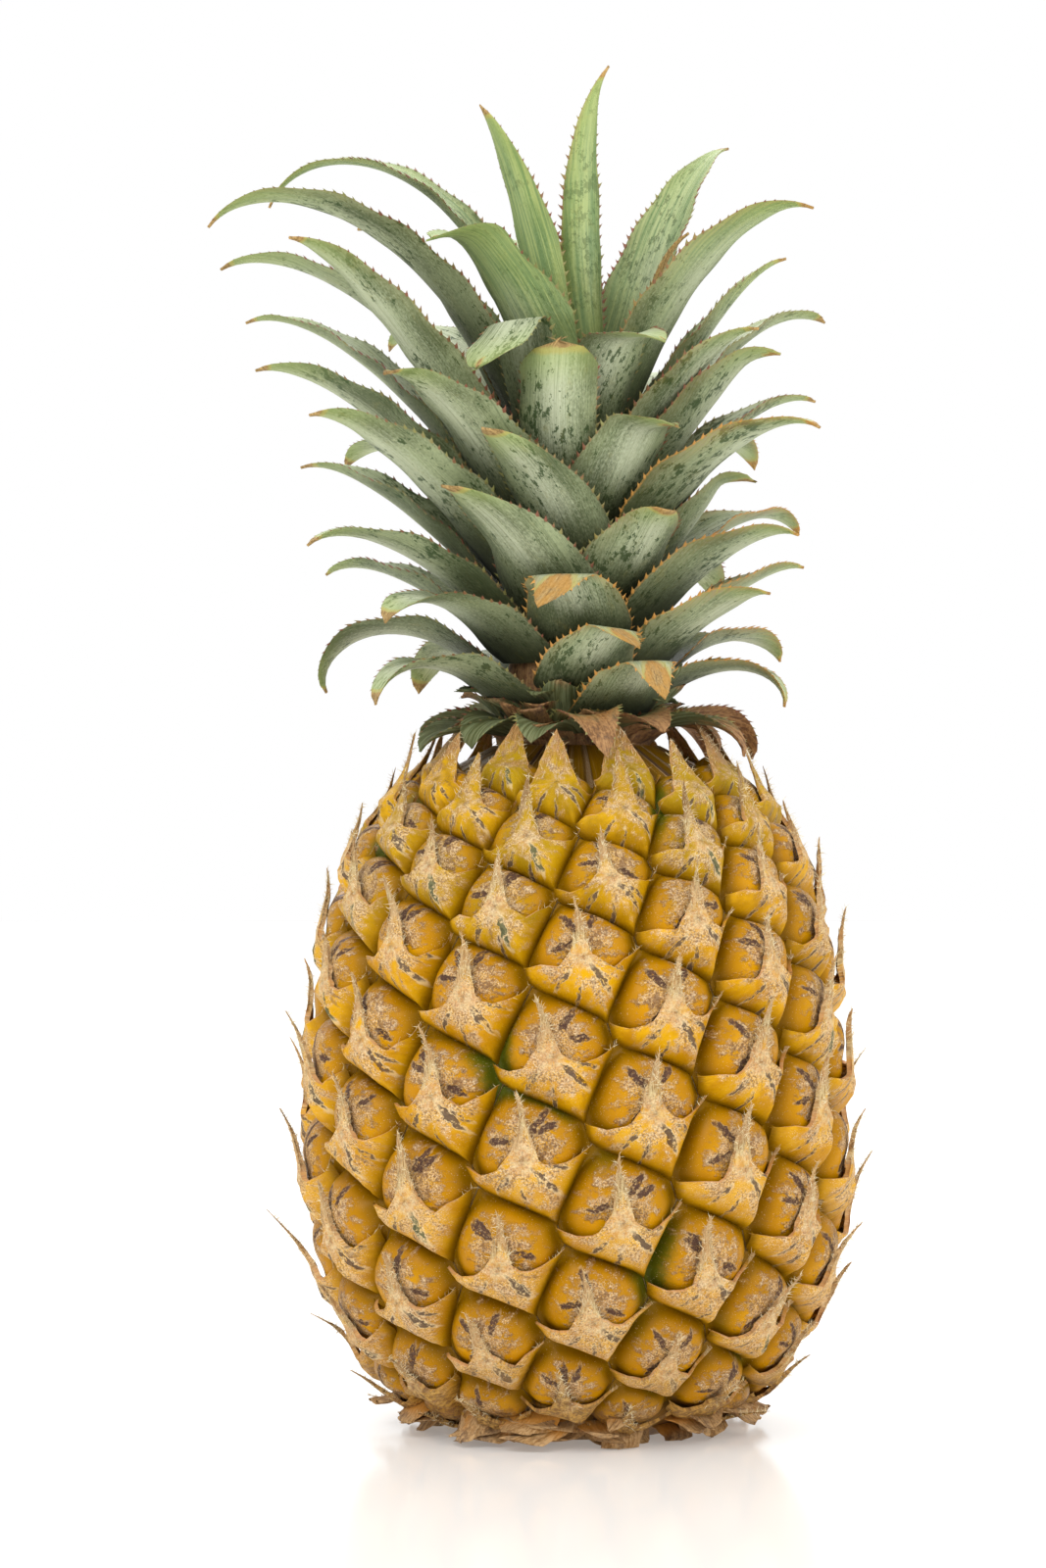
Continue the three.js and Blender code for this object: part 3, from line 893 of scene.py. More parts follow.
@dataclass(frozen=True)
class BractFinish:
    """The bracts' scurfy faces, their bright yellow rims and their pale fibrous points."""

    yellow: str = "DEA600"
    amber: str = "C48A00"
    green: str = "86790A"
    tan: str = "C0954A"
    chalk: str = "E8D0A0"
    mauve: str = "745436"
    crack: str = "46312A"
    sap: str = "465032"
    peach: str = "CE9C6A"
    straw: str = "E4D09E"
    bark: str = "94703E"
    dry: str = "6C4A2A"
    shadow: str = "AC7C00"
    groove: str = "765400"
    scurf: Scurf = Scurf()
    cracks: tuple[Crack, ...] = (
        Crack(-2.3, 1.2, 6.6, 2.4, 0.5), Crack(-0.7, 1.1, 6.6, 2.1, 0.5), Crack(-1.8, 0.7, 8.4, 2.8, 0.42),
    )
    keel: Crack = Crack(-1.15, 0.8, 5.4, 4.0, 0.75)

    def material(self) -> Material:
        """Builds the finish.

        Returns:
            The material, which reads the points' "spot", "rise", "rim", "point" and "eye".
        """
        p = Paint("bract")
        spot, rim, eye = p.vector("spot"), p.number("rim"), p.number("eye")
        rise, point = p.number("rise"), p.number("point")
        x, y, chance = p.split(spot)
        level = p.split(p.place())[2] / MM
        fan = x.angle_from(y * -1.0)
        reach = (x * x + y * y) ** 0.5
        rays = p.noise(p.join(fan * 4.0, reach * 0.12, chance), 1.0, 4, 0.6)
        grain = p.noise(spot, 3.6, 3, 0.75)
        fine = p.noise(spot, 0.9, 4, 0.7)
        broad = p.noise(spot, 0.16, 3, 0.6)
        base = p.mix(broad.step(0.38, 0.62), self.yellow, self.amber)
        ripe = (level + (eye - 0.5) * 40.0 + (broad - 0.5) * 70.0).step(85, 145)
        base = p.mix(ripe * 0.6, base, self.green)
        upper = (level + (broad - 0.5) * 20.0).step(116, 130)
        patches = p.grain(spot, 0.28, 0.34, 4, 0.6)
        cover = (1.0 - rim) * 0.52 - upper * 0.26 + (patches - 0.5) * 2.0
        cover = (cover + (rays - 0.5) * 0.7 + (fine - 0.5) * 0.4).step(0.1, 0.55)
        low = (level + (broad - 0.5) * 60.0).step(75, 25)
        cover = cover.most(low * (1.0 - rim).step(0.1, 0.5) * 0.8)
        body = self.scurf.lay(p, spot, base, cover)
        dots = p.noise(spot, 2.4, 5, 0.85)
        fissures = (rays + (fine - 0.5) * 0.5).step(0.58, 0.66) * rim.step(0.85, 0.4) * reach.step(2.5, 5.0)
        body = p.mix(fissures * 0.5, body, self.mauve)
        # Painted shade: darker towards the bract's foot, and darker still where it goes down into the groove.
        body = p.mix(rim.step(0.5, 0.95) * 0.6, body, self.shadow)
        body = p.mix(rim.step(0.76, 1.0) * 0.85, body, self.groove)
        warp = p.noise(spot, 0.6, 3, 0.6) - 0.5
        crack = draw_all(self.cracks, x, y, eye, warp)
        body = p.mix(crack.step(-0.9, 0.1) * 0.55 * fine.step(0.36, 0.56), body, self.chalk)
        body = p.mix(crack.step(0.0, 0.5) * 0.85 * fine.step(0.42, 0.52), body, self.crack)
        sap = self.keel.draw(x, y, eye, warp)
        body = p.mix(sap.step(-0.6, 0.1) * 0.6 * rays.step(0.3, 0.55), body, self.chalk)
        slit = p.mix(eye.step(0.7, 0.8), self.crack, self.sap)
        body = p.mix(sap.step(0.1, 0.5) * 0.85 * fine.step(0.4, 0.5), body, slit)
        heart = (reach.step(5.0, 1.0) + rays - 0.5 + (grain - 0.5) * 0.8).step(0.35, 0.8)
        body = p.mix(heart * (0.5 - upper * 0.4), body, p.mix(fine.step(0.4, 0.6), self.peach, self.chalk))
        edge = rise.step(0.9, 0.975) * (1.0 - point)
        body = p.mix(edge * broad.step(0.3, 0.55) * 0.75, body, self.peach)
        body = p.mix(upper * rise.step(0.55, 1.0) * fine.step(0.46, 0.6) * 0.45, body, self.peach)
        fibre = p.noise(p.join(x * 3.2, y * 0.4, chance), 1.0, 4, 0.7)
        straw = p.mix((fibre * 0.7 + dots * 0.3).step(0.42, 0.56), self.bark, self.straw)
        straw = p.mix((broad + point * 0.2).step(0.5, 0.7) * 0.5, straw, self.peach)
        straw = p.mix(upper * (fine + point * 0.2).step(0.5, 0.66) * 0.7, straw, self.mauve)
        dried = point - upper * 0.3 + (dots - 0.5) * 0.9 + (fibre - 0.5) * 0.8
        body = p.mix(dried.step(0.25, 0.62) * 0.9, body, straw)
        body = p.mix(point.step(0.2, 0.6) * fibre.step(0.56, 0.64) * 0.6, body, self.mauve)
        papery = (level + (broad - 0.5) * 26.0).step(133, 141)
        body = p.mix(papery * 0.75, body, p.mix(fibre.step(0.36, 0.6), self.dry, self.peach))
        old = (level + (broad - 0.5) * 20.0).step(20, 6)
        body = p.mix(old * 0.85, body, p.mix(fine.step(0.38, 0.62), self.dry, self.tan))
        relief = rays * 0.8 + fine * 0.4 - crack.step(0.0, 0.5) * 0.5 - sap.step(0.1, 0.6) * 0.5
        relief = relief * (1.0 - point) + fibre * point
        return p.finish(body, 0.45 + cover * 0.25, relief, 0.6, Specular_IOR_Level=0.12)


@dataclass(frozen=True)
class FibreFinish:
    """The straw-coloured hairs on the bracts' points."""

    straw: str = "F0E4BC"
    bark: str = "C8AE7A"

    def material(self) -> Material:
        """Builds the finish.

        Returns:
            The material.
        """
        p = Paint("bract_fibre")
        shade = p.noise(p.place(), 700, 2)
        return p.finish(p.mix(shade.step(0.4, 0.6), self.bark, self.straw), 0.7, Sheen_Weight=0.2)


@dataclass(frozen=True)
class CutFinish:
    """The cut stalk under the fruit and the bare seat of the crown."""

    pale: str = "C9AE7C"
    wood: str = "7C5A36"

    def material(self) -> Material:
        """Builds the finish.

        Returns:
            The material.
        """
        p = Paint("cut_stalk")
        place = p.place()
        x, y, _ = p.split(place)
        radius = (x * x + y * y) ** 0.5 / MM
        strands = p.noise(place, 900, 3, 0.6)
        rings = p.noise(place, 160, 3, 0.6)
        body = p.mix(strands.step(0.4, 0.62), self.wood, self.pale)
        body = p.mix((radius + rings * 6.0).step(11, 17), body, self.wood)
        return p.finish(body, 0.8, strands, 0.4)


# ======== the fruit


@dataclass(frozen=True)
class Husks:
    """A crowd of small dry blades. Angles are in radians.

    "spreads" is how much the direction, width, root, tip, length, push aside and hook differ between blades,
    the width and the length as shares.
    """

    count: int
    first: int
    seed: int
    length: float
    width: float
    root: float
    tip: float
    spreads: tuple[float, ...]
    hook: float = 0.0
    columns: int = 9
    row_length: float = 1.2

    def chances(self, i: int) -> list[float]:
        """Gives a blade's own random numbers, from -1 to 1."""
        return [float(sway(i, use, self.seed)) for use in range(9)]

    def blade(self, i: int, azimuth: float, height: float, start: float, **values: float) -> Blade:
        """Gives one of the blades.

        Args:
            i: Its number.
            azimuth: Roughly which way it points.
            height: Where it starts, up the axis.
            start: How far from the axis it starts.
            **values: Its other values.

        Returns:
            The blade.
        """
        chances = self.chances(i)[1:]
        turn, width, root, tip, length, aside, hook = (a * b for a, b in zip(self.spreads, chances))
        return Blade(
            azimuth=azimuth + turn,
            height=height,
            start=start,
            half_width=self.width / 2 * (1 + width),
            root_angle=self.root + root,
            tip_angle=self.tip + tip,
            length=self.length * (1 + length),
            aside=aside,
            hook=self.hook + hook,
            seed=self.first + i,
            dry=1.0,
            columns=self.columns,
            row_length=self.row_length,
            **values,
        )


@dataclass
class Fruit:
    """The fruit: domes inside their grooves, a bract on each, hairs on the bracts' points and a crushed foot.

    Places on an eye are a turn and a climb from its middle, in radians. Each entry of "turned_in" is a row of
    points behind a bract's free edge: how far it is drawn back, how deep it lies and its share of the rise.
    Each of "ridges" gives a ridge's direction, width and height on a bract's face. "point_sides" holds half
    widths of a point by shares of its reach. "flanks" and "top_flanks" are the free edge on its two sides, on
    most eyes and on the topmost.
    """

    outline: Outline = field(default_factory=Outline)
    lattice: EyeLattice = field(default_factory=EyeLattice)
    foot_radius: float = 21.0
    seat_radius: float = 17.0
    seat_height: float = 138.2
    side_steps: int = 6
    rings: tuple[float, ...] = (0.12, 0.24, 0.36, 0.47, 0.57, 0.66, 0.74, 0.81, 0.87, 0.92, 0.96, 0.985, 1.0)
    dome_height: float = 1.1
    dome_reach: float = 0.238
    dome_middle: tuple[float, float] = (0.008, 0.012)
    bract_height: float = 1.1
    bract_columns: int = 42
    bract_rows: tuple[float, ...] = (0, 0.03, 0.07, 0.12, 0.18, 0.26, 0.36, 0.48, 0.6, 0.72, 0.84, 0.94, 1)
    turned_in: tuple[Place, ...] = ((0.012, 0.45, 0.97), (0.05, 1.1, 0.95))
    ridges: tuple[Place, ...] = ((-0.95, 0.16, 0.6), (0.42, 0.13, 0.9), (1.2, 0.18, 0.5))
    point_sides: Knots = (
        (0.048, -0.03), (0.041, 0.02), (0.03, 0.16), (0.019, 0.36), (0.0115, 0.58), (0.0055, 0.8),
    )
    flanks: Knots = (
        (-0.155, -0.066), (-0.09, -0.06), (-0.062, -0.042),
        (0.07, -0.032), (0.11, -0.048), (0.155, -0.024), (0.195, -0.002),
    )
    top_flanks: Knots = (
        (-0.225, -0.03), (-0.205, -0.03), (-0.185, -0.025),
        (0.175, -0.02), (0.19, -0.015), (0.205, -0.01), (0.225, 0.0),
    )
    topmost_from: float = 0.75
    lowest_eyes: tuple[int, int] = (7, 19)
    top_point_width: float = 0.165
    rim_width: float = 0.1
    flap_length: float = 0.17
    point_height: float = 6.6
    point_growth: float = 11.0
    point_reach: float = 0.207
    point_reach_growth: float = 0.16
    hair_length: float = 1.15
    hair_width: float = 0.055
    hairs_per_square_metre: float = 3.5e6
    scraps: Husks = Husks(
        count=64, first=300, seed=11, length=6.0, width=10.0, root=math.radians(120), tip=math.radians(105),
        spreads=(0.2, 0.4, 0.3, 0.8, 0.4, 4.0, 0.9),
    )
    scrap_sunk: float = 2.0
    scrap_lowest: float = 2.0
    scrap_spread: float = 6.0
    scrap_clearance: float = 0.8

    def __post_init__(self) -> None:
        """Makes the finishes."""
        self.rind_finish = RindFinish().material()
        self.bract_finish = BractFinish().material()
        self.fibre_finish = FibreFinish().material()
        self.cut_finish = CutFinish().material()
        self.scrap_finish = WitheredFinish("dry_bract", "8E6838", "CCA878", "644A38").material()

    def build(self) -> None:
        """Makes the pieces and hands them over."""
        hand_over(self._rind(), "fruit")
        bracts = self._bracts()
        hairs = self._hairs(bracts)
        hand_over(bracts, "fruit")
        hand_over(hairs, "fruit")
        hand_over(self._scraps(), "fruit")

    def _chance(self, k: int, use: int) -> float:
        """Gives one of an eye's own random numbers, from -1 to 1."""
        return float(sway(k, use, self.lattice.seed))

    # ---- domes

    def _groove(self, k: int) -> Array:
        """Gives the groove round an eye as a closed line of ways from its middle.

        Args:
            k: The eye's number.

        Returns:
            One row of turn and climb a point, anticlockwise from the right corner.
        """
        ring = self.lattice.ring(k)
        shares = np.arange(self.side_steps) / self.side_steps
        sides = [lerp(a, b, shares[:, None]) for a, b in zip(ring, np.roll(ring, -1, axis=0))]
        return np.concatenate(sides)

    def _rind(self) -> Piece:
        """Makes the domes, closed below by the cut stalk and above by the crown's seat.

        Returns:
            The rind.
        """
        skin = Skin()
        for k in range(self.lattice.count):
            self._add_dome(skin, k)
        rind = skin.build("rind", self.rind_finish, weld=0.02)
        self._close_ends(rind)
        shade_smooth(rind, 80)
        return rind

    def _add_dome(self, skin: Skin, k: int) -> None:
        """Adds one eye's dome.

        Args:
            skin: The mesh in the making.
            k: The eye's number.
        """
        groove = self._groove(k)
        radius = np.linalg.norm(groove, axis=1)
        circle = groove / radius[:, None] * radius.mean()
        shares = np.array(self.rings)
        blend = shares[:, None, None] ** 3.5
        local = (shares[:, None, None] * lerp(circle, groove, blend)).reshape(-1, 2)
        local = np.vstack([[0, 0], local])
        rim = np.concatenate([[0], np.repeat(shares, len(groove))])
        height, roundness = self._dome(k, local, rim)
        centre = self.lattice.centre(k)
        points = self.outline.on(centre[0] + local[:, 0], centre[1] + local[:, 1], height)
        around = len(groove)
        faces = grid_faces(len(shares), around, closed=True) + 1
        first = 1 + np.arange(around)
        middle = np.column_stack([np.zeros(around, int), first, np.roll(first, -1)])
        triangles = np.vstack([middle, halved(faces)])
        chance = self._chance(k, 3)
        spot = self._spot(local, 0.045, chance)
        skin.add(points, triangles, spot=spot, rim=roundness, eye=np.full(len(local), chance / 2 + 0.5))

    def _spot(self, local: Array, up: float, chance: float) -> Array:
        """Gives the places on an eye that its pattern is drawn on.

        Args:
            local: Ways from its middle, in radians.
            up: How far above the middle the pattern's own middle lies.
            chance: The eye's random number, from -1 to 1.

        Returns:
            One row of millimetres across and up, and a number of the eye's own, a place.
        """
        across, along = (local - np.array([0.005, up])).T * self.outline.full_radius
        return np.column_stack([across, along, np.full(len(local), chance * 90)])

    @staticmethod
    def _margin(across: Array) -> Array:
        """Gives how far up an eye the bract's free edge lies, without its point."""
        return -0.052 + 0.1 * across + 0.2 * np.abs(across) ** 1.5

    def _dome(self, k: int, local: Array, rim: Array) -> tuple[Array, Array]:
        """Gives the height of a dome.

        Args:
            k: The eye's number.
            local: Ways from its middle.
            rim: How near each is to the groove, from 0 to 1.

        Returns:
            The heights, in millimetres, and how near each place is to the dome's round foot.
        """
        across, along = local.T
        circle = np.hypot(across - self.dome_middle[0], along - self.dome_middle[1]) / self.dome_reach
        roundness = (rim**9 + circle**9) ** (1 / 9)
        inside = 1 - np.minimum(roundness, 1) ** 4
        plump = self.dome_height - (self.dome_height + self.lattice.depth) * np.minimum(roundness, 1) ** 4.6
        edge = self._margin(across)
        hollow = self._slope(along, edge)
        wave = np.sin(9 * across + 4 * self._chance(k, 5)) * np.sin(11 * along + 3 * self._chance(k, 6))
        return plump + inside * (0.3 * wave - hollow), np.minimum(roundness, 1.15)

    @staticmethod
    def _slope(along: Array, edge: Array) -> Array:
        """Gives how far a dome falls towards the bract's edge and goes on under it."""
        under = np.clip((edge - 0.01 - along) / 0.05, 0, 1)
        return 0.9 * smooth(edge + 0.12 - along, 0.0, 0.1) + 1.2 * under

    def _close_ends(self, rind: Piece) -> None:
        """Closes the rind's open ends with bands and flat discs.

        Args:
            rind: The rind, whose two open edges lie below and above.
        """
        rind.data.materials.append(self.cut_finish)
        form = bmesh.new()
        form.from_mesh(rind.data)
        self._close_end(form, self.foot_radius, 0.0, low=True)
        self._close_end(form, self.seat_radius, self.seat_height, low=False)
        form.normal_update()
        bmesh.ops.recalc_face_normals(form, faces=form.faces)
        form.to_mesh(rind.data)
        form.free()

    def _close_end(self, form: bmesh.types.BMesh, radius: float, level: float, low: bool) -> None:
        """Closes one open end with a band and a flat disc.

        Args:
            form: The rind in the making.
            radius: The disc's radius, in millimetres.
            level: Its height.
            low: Whether it is the lower end.
        """
        half_way = self.seat_height / 2 * MM
        edges = [edge for edge in form.edges if edge.is_boundary]
        edges = [edge for edge in edges if (edge.verts[0].co.z < half_way) == low]
        grown = bmesh.ops.extrude_edge_only(form, edges=edges)["geom"]
        for point in grown:
            if isinstance(point, bmesh.types.BMVert):
                share = radius * MM / math.hypot(point.co.x, point.co.y)
                point.co = (point.co.x * share, point.co.y * share, level * MM)
        middle = form.verts.new((0, 0, level * MM))
        for edge in grown:
            if isinstance(edge, bmesh.types.BMEdge):
                face = form.faces.new((*edge.verts, middle))
                face.material_index = 1

    # ---- bracts

    def _late(self, k: int) -> float:
        """Gives how far an eye belongs to the topmost, whose points are long."""
        return float(smooth(k / self.lattice.count, self.topmost_from, 1.0))

    def _early(self, k: int) -> float:
        """Gives how far an eye belongs to the lowest, whose bracts are crushed and hang loose."""
        return 1 - float(smooth(k, *self.lowest_eyes))

    def _reach(self, k: int) -> float:
        """Gives how far up an eye its bract's point reaches."""
        return self.point_reach + self.point_reach_growth * self._late(k)

    def _lean(self, k: int) -> float:
        """Gives how far to the right a bract's point leans."""
        return -0.018 + 0.032 * self._chance(k, 12)

    def _bracts(self) -> Piece:
        """Makes the bract of every eye.

        Returns:
            The bracts, as one piece.
        """
        skin = Skin()
        for k in range(self.lattice.count):
            self._add_bract(skin, k)
        return skin.build("bracts", self.bract_finish)

    def _edge_line(self, k: int, ring: Array, share: Array) -> Array:
        """Gives the free edge of a bract.

        Args:
            k: The eye's number.
            ring: The groove's six corners.
            share: Places from its left end at 0 to its right end at 1.

        Returns:
            Ways from the eye's middle.
        """
        late, lean = self._late(k), self._lean(k)
        reach = self._reach(k) * (1 + 0.14 * self._chance(k, 11))
        wide = 0.84 + 0.16 * self._chance(k, 13)
        bow = 0.012 * self._chance(k, 16)
        left, right = [], []
        for half, up in self.point_sides:
            middle = lean * (0.4 + 0.6 * up) + bow * math.sin(PI * up)
            half = lerp(half * wide, self.top_point_width * max(0.0, 1 - up) ** 0.75, late)
            left.append((middle - half, up * reach))
            right.append((middle + half, up * reach))
        dip = 0.02 * self._chance(k, 17)
        flanks = np.array(self.flanks)
        flanks[0, 1] += dip
        flanks[4, 1] -= dip
        flanks = lerp(flanks, np.array(self.top_flanks), late)
        start = lerp(ring[3], ring[4], 0.22)
        knots = np.array([start, *flanks[:3], *left, (lean, reach), *right[::-1], *flanks[3:], ring[0]])
        at = np.linspace(0, 1, len(knots))
        return np.column_stack([np.interp(share, at, knots[:, 0]), np.interp(share, at, knots[:, 1])])

    def _foot_line(self, ring: Array, share: Array) -> Array:
        """Gives the line where a bract comes out of the groove, drawn out a little at its lowest point.

        Args:
            ring: The groove's six corners.
            share: Places from its left end at 0 to its right end at 1.

        Returns:
            Ways from the eye's middle.
        """
        a, b, c, d = ring[3], ring[4], ring[5], ring[0]
        left, low = [lerp(a, b, 0.1), lerp(a, b, 0.85)], [lerp(b, c, 0.12), lerp(b, c, 0.9)]
        below = np.array([*left, *low, c * 1.06, lerp(c, d, 0.1), d])
        below[1:6] *= 1.03
        lengths = np.concatenate([[0], np.cumsum(np.linalg.norm(np.diff(below, axis=0), axis=1))])
        return np.column_stack([np.interp(share, lengths / lengths[-1], below[:, i]) for i in (0, 1)])

    def _add_bract(self, skin: Skin, k: int) -> None:
        """Adds one eye's bract.

        Args:
            skin: The mesh in the making.
            k: The eye's number.
        """
        ring = self.lattice.ring(k)
        columns = np.linspace(0, 1, self.bract_columns + 1)
        edge = self._edge_line(k, ring, columns)
        on_point = smooth(edge[:, 1], 0.0, 0.05)
        number = np.arange(len(columns))
        ragged = sway(number + 100 * k, 14, self.lattice.seed) * (0.0035 + 0.003 * on_point)
        edge = edge + ragged[:, None] * np.array([1.0, 0.5])
        foot = self._foot_line(ring, columns)
        loose = 0.75 + 0.5 * sway(number // 3 + 50 * k, 18, self.lattice.seed)
        foot[:, 1] -= self.flap_length * self._early(k) * np.sin(PI * columns) * loose
        rows = np.array(self.bract_rows)
        flat = (foot[None] + rows[:, None, None] * (edge - foot)[None]).reshape(-1, 2)
        rise = np.repeat(rows, len(columns))
        wing = np.tile(smooth(np.abs(2 * columns - 1), 0.72, 1.0), len(rows))
        rim = 1 - np.clip(self._distance(foot, flat) / self.rim_width, 0, 1)
        height = self._bract(k, flat, rim, wing)
        point = smooth(flat[:, 1], -0.035, 0.06) * smooth(rise, 0.5, 0.9) * (1 - 0.7 * self._late(k))
        last = slice(-len(columns), None)
        flat = np.vstack([flat, *[lerp(edge, foot, back) for back, _, _ in self.turned_in]])
        height = np.concatenate([height, *[height[last] - depth for _, depth, _ in self.turned_in]])
        rise = np.concatenate([rise, *[np.full(len(columns), level) for _, _, level in self.turned_in]])
        rim, point = (np.concatenate([v, np.tile(v[last], len(self.turned_in))]) for v in (rim, point))
        centre = self.lattice.centre(k)
        points = self.outline.on(centre[0] + flat[:, 0], centre[1] + flat[:, 1], height)
        faces = grid_faces(len(rows) + len(self.turned_in), len(columns))
        chance = self._chance(k, 3)
        eye = np.full(len(flat), chance / 2 + 0.5)
        spot = self._spot(flat, -0.02, chance)
        skin.add(points, halved(faces), spot=spot, rim=rim, rise=rise, point=point, eye=eye)

    @staticmethod
    def _distance(line: Array, places: Array) -> Array:
        """Gives how far each place is from a line.

        Args:
            line: The line's points.
            places: The places.

        Returns:
            Their distances from its nearest piece.
        """
        start, side = line[:-1], np.diff(line, axis=0)
        ways = places[:, None] - start[None]
        share = np.clip((ways * side).sum(2) / np.maximum((side**2).sum(1), 1e-12), 0, 1)
        return np.linalg.norm(ways - share[..., None] * side[None], axis=2).min(axis=1)

    def _bract(self, k: int, local: Array, rim: Array, wing: Array) -> Array:
        """Gives the height of a bract's face.

        Args:
            k: The eye's number.
            local: Ways from the eye's middle.
            rim: How near each is to the groove.
            wing: How near each is to the bract's two side corners.

        Returns:
            The heights, in millimetres.
        """
        across, along = local.T
        foot_depth = self.lattice.depth * (1 - 0.62 * wing) * (1 - 0.75 * self._early(k))
        body = self.bract_height - (self.bract_height + foot_depth) * rim**2.4
        heart = -0.01 + 0.02 * self._chance(k, 12)
        from_heart = np.hypot(across - heart, along + 0.03)
        inside = 1 - rim**2
        body = body + inside * 1.7 * np.clip(1 - from_heart / 0.17, 0, 1)
        fan = np.arctan2(across - heart, -along)
        out = smooth(from_heart, 0.03, 0.1) * inside
        for turn, width, tall in self.ridges:
            where = turn + 0.2 * self._chance(k, int(20 + 10 * turn))
            body = body + tall * out * np.exp(-(((fan - where) / width) ** 2))
        body = body - 0.5 * out * np.exp(-(((fan + 0.25) / 0.3) ** 2))
        tall = self.point_height + self.point_growth * self._late(k) + 2.4 * self._chance(k, 15)
        share = np.clip(along / self._reach(k), 0, 1.2)
        curl = 1.5 + 0.5 * self._chance(k, 19)
        keel = np.clip(1 - np.abs(across - self._lean(k)) / 0.03, 0, 1) * smooth(share, 0.0, 0.3)
        return body + (tall - 1.5 * self.bract_height) * share**curl + 0.8 * keel * np.clip(1 - share, 0, 1)

    # ---- crushed bracts

    def _scraps(self) -> Piece:
        """Makes the dry crushed bracts that hang round the fruit's foot, flattened against the floor.

        Returns:
            The crushed bracts, as one piece.
        """
        skin = Skin()
        for i in range(self.scraps.count):
            self._scrap(i).add_to(skin)
        scraps = skin.build("crushed_bracts", self.scrap_finish)
        lowest = self.scrap_clearance * MM
        for vertex in scraps.data.vertices:
            if vertex.co.z < lowest:
                vertex.co.z = lowest * math.exp(vertex.co.z / lowest - 1)
        shade_smooth(scraps)
        return scraps

    def _scrap(self, i: int) -> Blade:
        """Gives one crushed bract.

        Args:
            i: Its number.

        Returns:
            The blade.
        """
        chance = self.scraps.chances(i)
        level = self.scrap_lowest + self.scrap_spread * (0.5 + 0.5 * chance[0]) ** 1.2
        radii, levels = zip(*self.outline.knots)
        start = float(np.interp(level, levels, radii)) - self.scrap_sunk
        torn, channel = 0.6 + 0.3 * chance[1], 0.35 * chance[8]
        return self.scraps.blade(i, i * GOLDEN_ANGLE, level, start, torn=torn, channel=channel)

    # ---- hairs

    def _hairs(self, bracts: Piece) -> Piece:
        """Grows the hairs on the bracts' points.

        Args:
            bracts: The bracts, which the hairs stand on.

        Returns:
            The hairs, as one piece.
        """
        sizes = {"Density": self.hairs_per_square_metre, "Least": 0.5, "Most": 1.4, "Seed": 5}
        tree = Grower("bract_hairs", sizes)
        scatter = tree.add("GeometryNodeDistributePointsOnFaces", {"distribute_method": "RANDOM"}, {
            "Mesh": tree.given("Geometry"),
            "Density": Value(tree, tree.read("point")) * tree.given("Density"),
            "Seed": tree.given("Seed"),
        })
        stray = tree.add("FunctionNodeRandomValue", {"data_type": "FLOAT_VECTOR"}, {
            "Min": (-1, -1, -0.3),
            "Max": (1, 1, 1.6),
            "Seed": 3,
        }).outputs[0]
        outward = tree.vectors("MULTIPLY", socket_of(scatter.outputs, "Normal"), (0.35, 0.35, 0.35))
        lying = tree.vectors("ADD", outward, stray)
        turned = tree.add("FunctionNodeAlignRotationToVector", {"axis": "Z"}, {"Vector": lying}).outputs[0]
        points = socket_of(scatter.outputs, "Points")
        tree.close(tree.place(points, turned, tree.random(9), self.fibre_finish))
        hairs = bpy.data.objects.new("bract_hairs", bracts.data.copy())
        bpy.context.scene.collection.objects.link(hairs)
        needle = needle_shape(self.hair_length, self.hair_width)
        tree.apply(hairs, needle)
        bpy.data.objects.remove(needle)
        shade_smooth(hairs)
        return hairs


def needle_shape(length: float, width: float) -> Piece:
    """Makes one hair along +Z from the origin.

    Args:
        length: How long it is, in millimetres.
        width: How thick its foot is.

    Returns:
        The object, not linked to the scene.
    """
    angles = np.arange(3) * TAU / 3
    foot = np.column_stack([np.cos(angles) * width, np.sin(angles) * width, np.zeros(3)])
    bend = np.array([[width * 1.5, 0, length * 0.55]]) + foot * 0.6
    points = np.vstack([foot, bend, [[width * 5, 0, length]]]) * MM
    sides = [(0, 1, 4), (0, 4, 3), (1, 2, 5), (1, 5, 4), (2, 0, 3), (2, 3, 5)]
    return single_shape("hair", points.tolist(), [*sides, (3, 4, 6), (4, 5, 6), (5, 3, 6), (0, 2, 1)])


# ======== finishes of the crown


